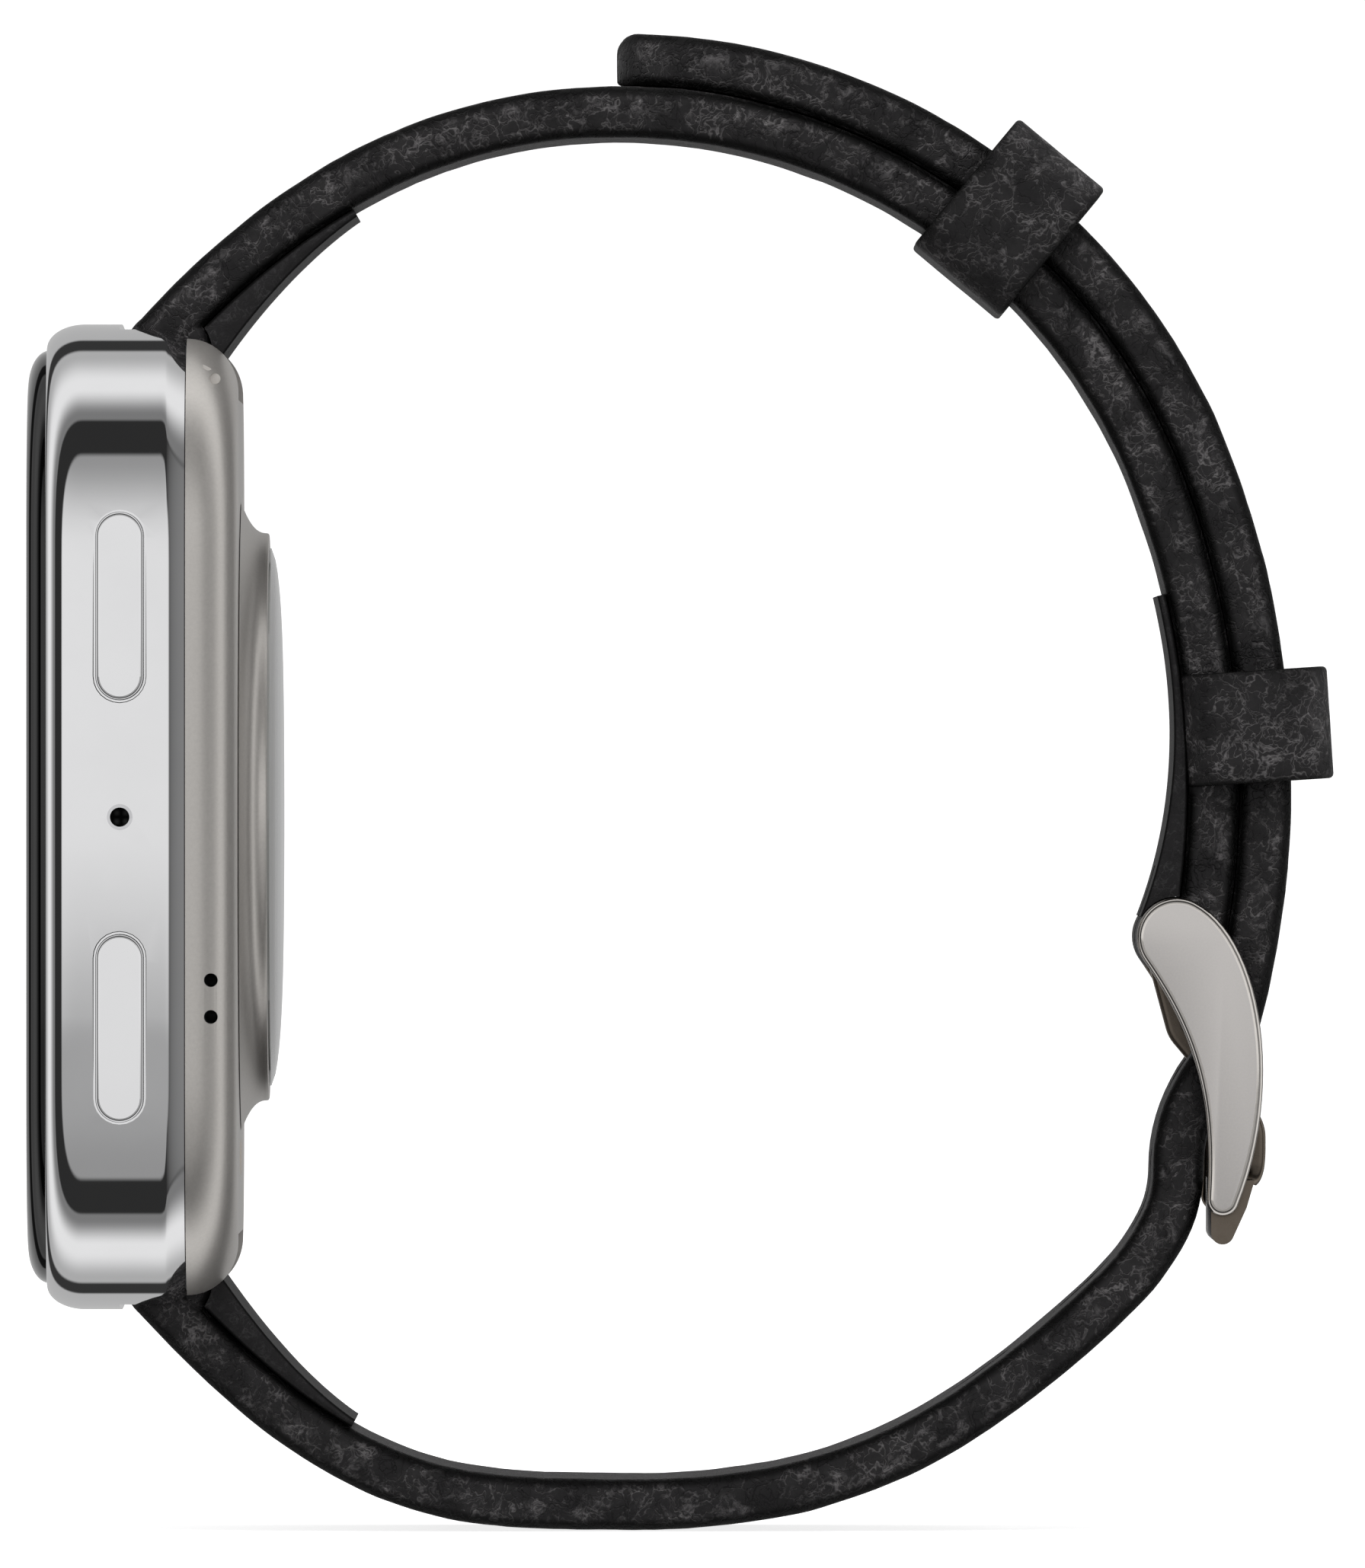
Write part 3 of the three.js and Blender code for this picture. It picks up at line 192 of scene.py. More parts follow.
def rounded(half_width, half_height, corner, steps=8, run=6):
    """Rounded rectangle about the origin: quarter circles joined by evenly split sides."""
    t = np.linspace(0, math.pi / 2, steps + 1)
    a, b = half_width - corner, half_height - corner
    quarter = np.stack([a + corner * np.cos(t), b + corner * np.sin(t)], -1)
    side = np.linspace(a, -a, run + 1)[1:-1]
    rise = np.linspace(b, -b, run + 1)[1:-1]
    half = np.concatenate([
        quarter,
        np.stack([side, np.full(run - 1, half_height)], -1),
        quarter[::-1] * [-1, 1],
        np.stack([np.full(run - 1, -half_width), rise], -1),
    ])
    return np.concatenate([half, -half])


def skin(rows, closed=False):
    """Quads through a (rows, columns, 3) grid whose columns close on themselves.

    The rows close as well when closed is true; otherwise one face caps each end.
    """
    count, width = rows.shape[:2]
    r = np.arange(count if closed else count - 1)[:, None] * width
    c = np.arange(width)[None, :]
    nxt = (c + 1) % width
    up = (r + width) % (count * width)
    faces = np.stack([r + c, r + nxt, up + nxt, up + c], -1).reshape(-1, 4).tolist()
    if not closed:
        faces.append(list(range(width)))
        faces.append(list(range((count - 1) * width, count * width)))
    return rows.reshape(-1, 3), faces


def turned(profile, axis, place, segments=96, closed=False):
    """Profile of (radius, height) turned about X or Y through a place: r cos(a), r sin(a)."""
    r, h = np.array(profile, float).T[:, :, None]
    a = np.linspace(0, 2 * math.pi, segments, endpoint=False)[None, :]
    first, second, along = r * np.cos(a), r * np.sin(a), h + 0 * a
    grid = [along, first, second] if axis == "X" else [first, along, second]
    return skin(np.stack(grid, -1) + np.array(place, float), closed)


def rod(radius, low, high, axis, place, segments=96):
    """Round bar between two heights along an axis through a place."""
    return turned([(0, low), (radius, low), (radius, high), (0, high)], axis, place, segments)


def barrel(radius, half, edge, place, segments):
    """Round bar along X, level about a place, with both its rims bevelled."""
    return turned([(0, -half), (radius - edge, -half), (radius, edge - half), (radius, half - edge),
                   (radius - edge, half), (0, half)], "X", place, segments)


def slab(inset, y0, y1, top=None):
    """Straight-sided block of the case outline between two depths, cut off level at top."""
    flat = outline(inset)
    if top is not None:
        flat[:, 1] = flat[:, 1].clip(-top, top)
    rows = [np.insert(flat, 1, y, axis=1) for y in (y0, y1)]
    return skin(np.array(rows))


def rings(levels):
    """Rows of the case outline from (depth, inset) pairs."""
    return np.array([np.insert(outline(inset, 24), 1, y, axis=1) for y, inset in levels])


def plate(flat, along, insets=None):
    """Outline in Y and Z carried along X; insets shrink it square to its own edge."""
    insets = np.zeros(len(along)) if insets is None else np.array(insets)
    step = np.roll(flat, -1, 0) - np.roll(flat, 1, 0)
    square = np.stack([-step[:, 1], step[:, 0]], -1) / np.linalg.norm(step, axis=1)[:, None]
    turn = np.sign(np.sum(flat[:, 0] * np.roll(flat[:, 1], -1) - flat[:, 1] * np.roll(flat[:, 0], -1)))
    rows = flat[None] + turn * insets[:, None, None] * square[None]
    x = np.broadcast_to(np.array(along, float)[:, None], rows.shape[:2])
    return np.concatenate([x[:, :, None], rows], -1)


def block(low, high):
    """Straight box between two corners, as a closed skin of two rows."""
    x = np.array([low[0], high[0], high[0], low[0]])
    y = np.array([low[1], low[1], high[1], high[1]])
    rows = [np.stack([x, y, np.full(4, z)], -1) for z in (low[2], high[2])]
    return skin(np.array(rows, float))


def notches():
    """The spaces that the strap ends sit in, at the top and the bottom of the case."""
    top = CASE_TOP + 1
    return [block((-NOTCH_HALF, NOTCH_FRONT, NOTCH_FLOOR), (NOTCH_HALF, 20, top)),
            block((-NOTCH_HALF, NOTCH_FRONT, -top), (NOTCH_HALF, 20, -NOTCH_FLOOR))]


# ---- routes: columns Y, Z, heading in radians and distance, clockwise seen from +X ----
def lay(start, heading, steps, pitch=0.5):
    """Walks a route of steps from a start.

    ("arc", radius, turn) is a circle, clockwise when turn is positive; ("line", length)
    is straight; ("to", y, z, heading, leave, arrive) is a cubic curve with those handles.
    """
    way = np.array([[start[0], start[1], math.radians(heading), 0.0]])
    for step in steps:
        y, z, h, s = way[-1]
        if step[0] == "arc":
            radius, turn = step[1] * np.sign(step[2]), math.radians(step[2])
            count = max(4, math.ceil(abs(radius * turn) / pitch))
            a = h - turn * np.arange(1, count + 1) / count
            cy, cz = y + radius * math.sin(h), z - radius * math.cos(h)
            far = s + abs(radius * turn) * np.arange(1, count + 1) / count
            more = np.stack([cy - radius * np.sin(a), cz + radius * np.cos(a), a, far], -1)
        elif step[0] == "line":
            count = max(2, math.ceil(step[1] / pitch))
            d = step[1] * np.arange(1, count + 1) / count
            more = np.stack([y + d * math.cos(h), z + d * math.sin(h), 0 * d + h, s + d], -1)
        else:
            ey, ez, eh, leave, arrive = step[1:]
            eh = math.radians(eh)
            t = np.linspace(0, 1, 201)[:, None]
            p = np.array([[y, z], [y + leave * math.cos(h), z + leave * math.sin(h)],
                          [ey - arrive * math.cos(eh), ez - arrive * math.sin(eh)], [ey, ez]])
            curve = ((1 - t) ** 3 * p[0] + 3 * (1 - t) ** 2 * t * p[1]
                     + 3 * (1 - t) * t ** 2 * p[2] + t ** 3 * p[3])
            far = np.append(0, np.cumsum(np.linalg.norm(np.diff(curve, axis=0), axis=1)))
            count = max(4, math.ceil(far[-1] / pitch))
            d = far[-1] * np.arange(1, count + 1) / count
            tangent = np.gradient(curve, axis=0)
            bearing = np.unwrap(np.append(h, np.arctan2(tangent[:, 1], tangent[:, 0])))[1:]
            more = np.stack([np.interp(d, far, curve[:, 0]), np.interp(d, far, curve[:, 1]),
                             np.interp(d, far, bearing), s + d], -1)
        way = np.concatenate([way, more])
    return way


def stations(way, distances):
    """Stations of a route at the given distances."""
    return np.stack([np.interp(distances, way[:, 3], way[:, k]) for k in range(4)], -1)


def beside(at, along, out):
    """Y and Z of points at distances along and outside one station."""
    y, z, h = at[:3]
    return y + along * math.cos(h) - out * math.sin(h), z + along * math.sin(h) + out * math.cos(h)


def channel(at, reach, out, across):
    """Box square to a route: reach to each side of a station, between two outs and two X."""
    rows = []
    for along in (-reach, reach):
        y, z = beside(at, along, np.array(out))
        rows.append([[across[0], y[0], z[0]], [across[1], y[0], z[0]],
                     [across[1], y[1], z[1]], [across[0], y[1], z[1]]])
    return skin(np.array(rows))


def lug_half(distance):
    """Half width of the strap: 20 mm at the lug, easing to 18.4 mm over the first 20 mm."""
    part = np.clip(distance / TAPER, 0, 1)
    return STRAP_HALF_LUG + (STRAP_HALF - STRAP_HALF_LUG) * part


BAR_FOOT = LOOP - HALF_THICK
UPPER_START = (BAR[1] - BAR_FOOT * math.sin(math.radians(LUG_HEADING)),
               BAR[2] + BAR_FOOT * math.cos(math.radians(LUG_HEADING)))
JOIN = math.radians(5)
UPPER_WAY = lay(UPPER_START, LUG_HEADING, [
    ("to", HOOP[0] - UPPER_RADIUS * math.sin(JOIN), HOOP[1] + UPPER_RADIUS * math.cos(JOIN), 5, 6.7, 7.7),
    ("arc", UPPER_RADIUS, 74.3), ("arc", 36.525, 11), ("arc", 37.525, 20.2),
])
FIXED_KEEPER = stations(
    UPPER_WAY, [UPPER_WAY[-1, 3] - FIXED_KEEPER_RADIUS * math.radians(FIXED_KEEPER_TURN)])[0]
TAIL_STEPS = [("arc", UPPER_RADIUS + LAYER, 69.3), ("arc", 38.875, 11), ("arc", 39.875, 24.6)]
TAIL_START = (HOOP[0], HOOP[1] + UPPER_RADIUS + LAYER)
CROSSING = lay(TAIL_START, 0, TAIL_STEPS)[-1, 3] + TANG_CROSSING_AFTER
LOWER_WAY = lay(TAIL_START, 0, TAIL_STEPS + [
    ("arc", 7.1, 21.3), ("arc", 7.1, -36.3), ("arc", 5.5, 27), ("arc", 10.6, 18.5),
    ("arc", 46.1, 10), ("arc", 23.3, 26.5), ("arc", 35.05, 9),
    ("to", UPPER_START[0], -UPPER_START[1], 180 - LUG_HEADING, 6.5, 13.2),
])


# ---- pieces ----
def lattice(points, seed):
    """Smooth noise from 0 to 1: seeded random corners of a unit lattice, eased between."""
    size = 32
    table = np.random.default_rng(seed).random((size, size, size))
    cell = np.floor(points).astype(int)
    f = points - cell
    f = f * f * (3 - 2 * f)
    total = 0
    for corner in range(8):
        d = np.array([corner & 1, corner >> 1 & 1, corner >> 2])
        i, j, k = ((cell + d) % size).T
        total = total + table[i, j, k] * np.prod(np.where(d == 1, f, 1 - f), axis=1)
    return total


def creases(points, seed):
    """Leather relief from -1 to 1: folds where the noise crosses its middle, at two sizes."""
    broad = 1 - np.abs(2 * lattice(points / 2.6, seed) - 1) * 2
    fine = 1 - np.abs(2 * lattice(points / 1.1, seed + 1) - 1) * 2
    return 0.6 * broad + 0.4 * fine


def shell(name, parts):
    """One object from closed skins in millimetres, doubles merged and faces turned outwards."""
    points, faces, count = [], [], 0
    for place, face in parts:
        points.append(place)
        faces += [[i + count for i in one] for one in face]
        count += len(place)
    mesh = bpy.data.meshes.new(name)
    mesh.from_pydata((np.concatenate(points) * MM).tolist(), [], faces)
    work = bmesh.new()
    work.from_mesh(mesh)
    bmesh.ops.remove_doubles(work, verts=work.verts, dist=1e-7)
    bmesh.ops.recalc_face_normals(work, faces=work.faces)
    work.to_mesh(mesh)
    work.free()
    piece = bpy.data.objects.new(name, mesh)
    bpy.context.scene.collection.objects.link(piece)
    return piece


def carve(piece, parts, operation="DIFFERENCE"):
    """Cuts closed skins out of a piece, or joins them to it, and keeps the plain mesh."""
    tool = shell("carving_tool", parts)
    step = piece.modifiers.new("carve", "BOOLEAN")
    step.object = tool
    step.operation = operation
    step.solver = "EXACT"
    bpy.context.view_layer.update()
    graph = bpy.context.evaluated_depsgraph_get()
    mesh = bpy.data.meshes.new_from_object(piece.evaluated_get(graph))
    # Cuts that nearly coincide leave hair-thin slits: they are welded shut.
    work = bmesh.new()
    work.from_mesh(mesh)
    bmesh.ops.remove_doubles(work, verts=work.verts, dist=WELD)
    bmesh.ops.dissolve_degenerate(work, edges=work.edges, dist=WELD)
    slits = [edge for edge in work.edges if edge.is_boundary]
    if slits:
        bmesh.ops.holes_fill(work, edges=slits, sides=0)
    work.to_mesh(mesh)
    work.free()
    piece.modifiers.clear()
    piece.data = mesh
    bpy.data.objects.remove(tool)
    return piece


def place(piece, body, slot, material, *nodes, sharp=30):
    """Smooths a piece up to an edge angle, gives it its finish and puts it on its body."""
    piece.data.shade_smooth()
    piece.data.set_sharp_from_angle(angle=math.radians(sharp))
    piece.data.materials.clear()
    for one in (material if isinstance(material, list) else [material]):
        piece.data.materials.append(one)
    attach(piece, body)
    if nodes:
        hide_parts(*nodes)
    return piece


# ---- materials ----
def linear(colour):
    """An sRGB hex colour as linear red, green, blue and alpha."""
    parts = [int(colour[i:i + 2], 16) / 255 for i in (1, 3, 5)]
    return [p / 12.92 if p <= 0.04045 else ((p + 0.055) / 1.055) ** 2.4 for p in parts] + [1.0]


def node(tree, kind, inputs=(), **settings):
    """Adds one node. inputs maps a socket to a value or to the output that feeds it."""
    made = tree.nodes.new(kind)
    for key, value in settings.items():
        setattr(made, key, value)
    for key, value in dict(inputs).items():
        if isinstance(value, bpy.types.NodeSocket):
            tree.links.new(value, made.inputs[key])
        else:
            made.inputs[key].default_value = value
    return made


def finish(name, **sockets):
    """A material with a Principled shader; returns it, its tree, the shader and the place."""
    made = bpy.data.materials.new(name)
    made.use_nodes = True
    tree = made.node_tree
    tree.nodes.clear()
    inputs = {key.replace("_", " "): value for key, value in sockets.items()}
    shader = node(tree, "ShaderNodeBsdfPrincipled", inputs)
    node(tree, "ShaderNodeOutputMaterial", {"Surface": shader.outputs[0]})
    where = node(tree, "ShaderNodeTexCoord").outputs["Object"]
    return made, tree, shader, where


def per_metre(size):
    """Texture scale whose features are this many millimetres apart."""
    return 1 / (size * MM)


def mottled(name, dark, light, rough, metallic, grain, bump=0.0, **sockets):
    """A fine even finish: noise of one grain size moves the colour, roughness and bump."""
    made, tree, shader, where = finish(name, Metallic=metallic, **sockets)
    noise = node(tree, "ShaderNodeTexNoise", {
        "Vector": where, "Scale": per_metre(grain), "Detail": 4.0, "Roughness": 0.6})
    tone = node(tree, "ShaderNodeMapRange", {
        "Value": noise.outputs[0], "From Min": 0.3, "From Max": 0.7})
    colour = node(tree, "ShaderNodeMix", {
        0: tone.outputs[0], 6: linear(dark), 7: linear(light)}, data_type="RGBA")
    tree.links.new(colour.outputs[2], shader.inputs["Base Color"])
    gloss = node(tree, "ShaderNodeMapRange", {
        "Value": noise.outputs[0], "From Min": 0.3, "From Max": 0.7,
        "To Min": rough[0], "To Max": rough[1]})
    tree.links.new(gloss.outputs[0], shader.inputs["Roughness"])
    if bump:
        relief = node(tree, "ShaderNodeBump", {
            "Height": noise.outputs[0], "Strength": 1.0, "Distance": bump * MM})
        tree.links.new(relief.outputs[0], shader.inputs["Normal"])
    return made


def grained_leather(name, body, fold_and_sheen, pitch, depth, rough):
    """Full-grain calf, milled and drum dyed black.

    Irregular cells with thin pale folds and wandering wrinkles between them, broken up in
    patches. The pale folds are partly the grain's own colour and partly a painted highlight
    on the wrinkles, with a faint painted sheen over the patches and a stronger painted sheen
    towards the outer side. The worked edges are darkened, partly edge ink and partly painted
    shade where the rounded edges turn away and where layers meet.
    """
    made, tree, shader, where = finish(name, Specular_IOR_Level=0.16)
    warp = node(tree, "ShaderNodeTexNoise", {
        "Vector": where, "Scale": per_metre(pitch * 0.8), "Detail": 3.0})
    shifted = node(tree, "ShaderNodeVectorMath", {
        0: warp.outputs["Color"], 1: (0.5, 0.5, 0.5)}, operation="SUBTRACT")
    pushed = node(tree, "ShaderNodeVectorMath", {
        0: shifted.outputs[0], "Scale": pitch * 1.5 * MM}, operation="SCALE")
    bent = node(tree, "ShaderNodeVectorMath", {0: where, 1: pushed.outputs[0]}, operation="ADD")
    cells = node(tree, "ShaderNodeTexVoronoi", {
        "Vector": bent.outputs[0], "Scale": per_metre(pitch)}, feature="DISTANCE_TO_EDGE")
    small = node(tree, "ShaderNodeTexVoronoi", {
        "Vector": bent.outputs[0], "Scale": per_metre(pitch * 0.42)}, feature="DISTANCE_TO_EDGE")
    line = node(tree, "ShaderNodeMapRange", {
        "Value": cells.outputs[0], "From Min": 0.0, "From Max": 0.04, "To Min": 0.85, "To Max": 0.0})
    hair = node(tree, "ShaderNodeMapRange", {
        "Value": small.outputs[0], "From Min": 0.0, "From Max": 0.055, "To Min": 0.55, "To Max": 0.0})
    # Wandering wrinkles: thin bands where a smooth noise crosses its middle value.
    drift = node(tree, "ShaderNodeTexNoise", {
        "Vector": bent.outputs[0], "Scale": per_metre(pitch * 1.1), "Detail": 2.0})
    level = node(tree, "ShaderNodeMath", {0: drift.outputs[0], 1: 0.5}, operation="SUBTRACT")
    near = node(tree, "ShaderNodeMath", {0: level.outputs[0]}, operation="ABSOLUTE")
    wrinkle = node(tree, "ShaderNodeMapRange", {
        "Value": near.outputs[0], "From Min": 0.0, "From Max": 0.017, "To Min": 0.8, "To Max": 0.0})
    patches = node(tree, "ShaderNodeTexNoise", {
        "Vector": where, "Scale": per_metre(pitch * 1.3), "Detail": 6.0, "Roughness": 0.7})
    shown = node(tree, "ShaderNodeMapRange", {
        "Value": patches.outputs[0], "From Min": 0.38, "From Max": 0.64}, interpolation_type="SMOOTHSTEP")
    lines = node(tree, "ShaderNodeMath", {0: line.outputs[0], 1: hair.outputs[0]}, operation="MAXIMUM")
    both = node(tree, "ShaderNodeMath", {0: lines.outputs[0], 1: wrinkle.outputs[0]}, operation="MAXIMUM")
    folds = node(tree, "ShaderNodeMath", {0: both.outputs[0], 1: shown.outputs[0]}, operation="MULTIPLY")
    # A faint pale veil over the patches: a painted sheen.
    haze = node(tree, "ShaderNodeMath", {0: shown.outputs[0], 1: 0.07}, operation="MULTIPLY")
    soft = node(tree, "ShaderNodeMath", {0: folds.outputs[0], 1: haze.outputs[0]}, operation="ADD")
    # Painted sheen towards the outer side: pale noise spots there stand in for a highlight on the leather.
    outer = node(tree, "ShaderNodeAttribute", attribute_name="outer_side")
    sheen_noise = node(tree, "ShaderNodeTexNoise", {
        "Vector": bent.outputs[0], "Scale": per_metre(pitch * 0.8), "Detail": 7.0, "Roughness": 0.75})
    sheen_spots = node(tree, "ShaderNodeMapRange", {
        "Value": sheen_noise.outputs[0], "From Min": 0.52, "From Max": 0.68, "To Max": 0.8})
    painted_sheen = node(tree, "ShaderNodeMath", {0: sheen_spots.outputs[0], 1: outer.outputs["Fac"]}, operation="MULTIPLY")
    pale = node(tree, "ShaderNodeMath", {0: soft.outputs[0], 1: painted_sheen.outputs[0]}, operation="ADD",
                use_clamp=True)
    colour = node(tree, "ShaderNodeMix", {
        0: pale.outputs[0], 6: linear(body), 7: linear(fold_and_sheen)}, data_type="RGBA")
    # Dark worked edges, #070707: partly edge ink, partly painted shade where the rounded edges turn away
    # and where layers meet.
    painted = node(tree, "ShaderNodeAttribute", attribute_name="inked_and_shaded_edge")
    edged = node(tree, "ShaderNodeMix", {
        0: painted.outputs["Fac"], 6: colour.outputs[2], 7: linear("#070707")}, data_type="RGBA")
    tree.links.new(edged.outputs[2], shader.inputs["Base Color"])
    gloss = node(tree, "ShaderNodeMapRange", {
        "Value": patches.outputs[0], "From Min": 0.3, "From Max": 0.7,
        "To Min": rough[0], "To Max": rough[1]})
    tree.links.new(gloss.outputs[0], shader.inputs["Roughness"])
    pores = node(tree, "ShaderNodeTexNoise", {
        "Vector": where, "Scale": per_metre(pitch * 0.2), "Detail": 3.0})
    low = node(tree, "ShaderNodeMath", {0: both.outputs[0], 1: -1.0, 2: 1.0}, operation="MULTIPLY_ADD")
    height = node(tree, "ShaderNodeMath", {
        0: pores.outputs[0], 1: 0.45, 2: low.outputs[0]}, operation="MULTIPLY_ADD")
    relief = node(tree, "ShaderNodeBump", {
        "Height": height.outputs[0], "Strength": 0.75, "Distance": depth * MM})
    tree.links.new(relief.outputs[0], shader.inputs["Normal"])
    return made


def polished_steel():
    """316L stainless steel, buffed to a mirror: bright, almost no grain, faint polishing haze."""
    return mottled("polished_stainless_steel", "#E4E4E5", "#E7E7E8", (0.03, 0.04), 1.0, 4.0)


def satin_cover():
    """Die-cast aluminium with a fine warm grey coat: a soft, even, wide sheen."""
    return mottled("satin_coated_aluminium", "#DAD6D1", "#E2DED9", (0.34, 0.38), 0.7, 0.15, 0.0006)


def black_glass():
    """Toughened cover glass backed with black ink: deep black under one clean reflection."""
    return mottled("black_backed_glass", "#040405", "#060607", (0.02, 0.04), 0.0, 2.0, IOR=1.52)


def sensor_crystal():
    """Clear sensor crystal over a dark ink mask: a pale rim, a black middle, one green window."""
    made, tree, shader, where = finish("sensor_crystal", IOR=1.52, Coat_Weight=0.4, Coat_Roughness=0.03)
    flat = node(tree, "ShaderNodeMapping", {"Vector": where, "Scale": (1000.0, 0.0, 1000.0)})
    reach = node(tree, "ShaderNodeVectorMath", {0: flat.outputs[0]}, operation="LENGTH")
    rim = node(tree, "ShaderNodeMapRange", {
        "Value": reach.outputs["Value"], "From Min": 9.1, "From Max": 9.25})
    noise = node(tree, "ShaderNodeTexNoise", {"Vector": where, "Scale": per_metre(1.5), "Detail": 3.0})
    ink = node(tree, "ShaderNodeMix", {
        0: noise.outputs[0], 6: linear("#08090A"), 7: linear("#101213")}, data_type="RGBA")
    base = node(tree, "ShaderNodeMix", {
        0: rim.outputs[0], 6: ink.outputs[2], 7: linear("#B4B4B2")}, data_type="RGBA")
    colour = base.outputs[2]
    for centre, radius, tint in ((0.0, 1.9, "#1F5B3A"), (-5.5, 2.1, "#20262B"), (5.5, 2.1, "#20262B")):
        from_middle = node(tree, "ShaderNodeVectorMath", {
            0: flat.outputs[0], 1: (centre, 0.0, 0.0)}, operation="DISTANCE")
        window = node(tree, "ShaderNodeMapRange", {
            "Value": from_middle.outputs["Value"], "From Min": radius - 0.05, "From Max": radius + 0.05,
            "To Min": 1.0, "To Max": 0.0})
        layer = node(tree, "ShaderNodeMix", {
            0: window.outputs[0], 6: colour, 7: linear(tint)}, data_type="RGBA")
        colour = layer.outputs[2]
    tree.links.new(colour, shader.inputs["Base Color"])
    shader.inputs["Roughness"].default_value = 0.05
    return made


def brushed_buckle():
    """Stainless steel, fine-blasted to a warm satin on its faces."""
    return mottled("satin_buckle_steel", "#DBD7D4", "#E1DDDA", (0.28, 0.33), 1.0, 0.1, 0.0006)


def polished_buckle():
    """The same buckle steel buffed bright on its bevels."""
    return mottled("polished_buckle_steel", "#DAD5CF", "#E2DDD8", (0.08, 0.12), 1.0, 0.4)


def warm_shaded_buckle():
    """The buckle's sides, bar and tongue: stainless steel under a thin warm bronze vapour coat, made darker
    as painted shade.
    """
    return mottled("coated_shaded_buckle_steel", "#6E655B", "#776E64", (0.26, 0.3), 1.0, 0.5)


def circuit_mask():
    """Green solder mask, lighter where it runs over winding copper tracks about 2 mm apart."""
    made, tree, shader, where = finish("solder_mask_board", Roughness=0.45)
    tracks = node(tree, "ShaderNodeTexWave", {
        "Vector": where, "Scale": per_metre(6.0), "Distortion": 6.0, "Detail": 1.0})
    edge = node(tree, "ShaderNodeMapRange", {
        "Value": tracks.outputs["Fac"], "From Min": 0.7, "From Max": 0.78})
    colour = node(tree, "ShaderNodeMix", {
        0: edge.outputs[0], 6: linear("#123D27"), 7: linear("#2C6B45")}, data_type="RGBA")
    tree.links.new(colour.outputs[2], shader.inputs["Base Color"])
    return made


def woven_mesh():
    """Woven steel wire cloth as crossed waves, drawn three times as coarse as its 0.12 mm pitch."""
    made, tree, shader, where = finish("woven_wire_cloth", Metallic=1.0, Roughness=0.35)
    across = node(tree, "ShaderNodeTexWave", {
        "Vector": where, "Scale": per_metre(1.2)}, bands_direction="Y")
    upright = node(tree, "ShaderNodeTexWave", {
        "Vector": where, "Scale": per_metre(1.2)}, bands_direction="Z")
    wires = node(tree, "ShaderNodeMath", {
        0: across.outputs["Fac"], 1: upright.outputs["Fac"]}, operation="MULTIPLY")
    colour = node(tree, "ShaderNodeMix", {
        0: wires.outputs[0], 6: linear("#0A0A0A"), 7: linear("#2E2E2E")}, data_type="RGBA")
    tree.links.new(colour.outputs[2], shader.inputs["Base Color"])
    return made


# Finish of each CAD node that stays, by its slot in the record:
# name, dark tone, light tone, roughness range, metallic, grain in mm, bump in mm.
INSIDE = {
    "seal_rubber": ("moulded_silicone_rubber", "#121212", "#1B1B1B", (0.7, 0.85), 0.0, 0.3, 0.004),
    "display_panel": ("laminated_display_panel", "#07080B", "#0D0F14", (0.06, 0.12), 0.0, 1.0, 0.0),
    "led_resin": ("green_led_resin", "#3FB873", "#6BDA97", (0.2, 0.3), 0.0, 0.5, 0.0),
    "black_plastic": ("moulded_black_polyamide", "#1B1C1E", "#2A2C2E", (0.5, 0.65), 0.0, 0.15, 0.004),
    "gold_contacts": ("gold_plated_brass", "#C8963A", "#E0B055", (0.2, 0.3), 1.0, 0.3, 0.0),
    "screw_steel": ("zinc_plated_steel", "#A4A6AA", "#BFC1C5", (0.25, 0.38), 1.0, 0.2, 0.002),
    "battery_foil": ("embossed_aluminium_foil", "#7E8186", "#9A9DA1", (0.3, 0.45), 0.8, 0.6, 0.01),
    "spring_steel": ("drawn_spring_steel", "#8F9196", "#AEB0B5", (0.25, 0.35), 1.0, 0.15, 0.0),
}


class WatchSizes(bpy.types.PropertyGroup):
    """Sizes of the fine shapes."""

    edge_round: bpy.props.FloatProperty(
        name="Strap edge", description="Radius worked along the strap's edges", default=0.5 * MM,
        min=0.1 * MM, max=1.0 * MM, unit="LENGTH")
    relief: bpy.props.FloatProperty(
        name="Leather relief", description="Height of the leather's real folds", default=0.03 * MM,
        min=0.0, max=0.1 * MM, unit="LENGTH")
    grain: bpy.props.FloatProperty(
        name="Grain", description="Distance between the leather's folds", default=1.5 * MM,
        min=0.3 * MM, max=5 * MM, unit="LENGTH")
    button_chamfer: bpy.props.FloatProperty(
        name="Button chamfer", description="Width of the polished rim of a button",
        default=0.17 * MM, min=0.05 * MM, max=0.4 * MM, unit="LENGTH")


class WatchColours(bpy.types.PropertyGroup):
    """Colours of the leather."""

    body: bpy.props.StringProperty(
        name="Leather", description="Colour of the leather, as hex", default="#2A292A")
    # Pale folds, partly the leather's own grain colour and partly a painted highlight on its wrinkles; the
    # painted sheen uses this colour too.
    fold_and_sheen: bpy.props.StringProperty(
        name="Folds", description="Colour of the leather's folds, as hex", default="#878485")
    lining: bpy.props.StringProperty(
        name="Lining", description="Colour of the lining leather, as hex", default="#2C2B2C")


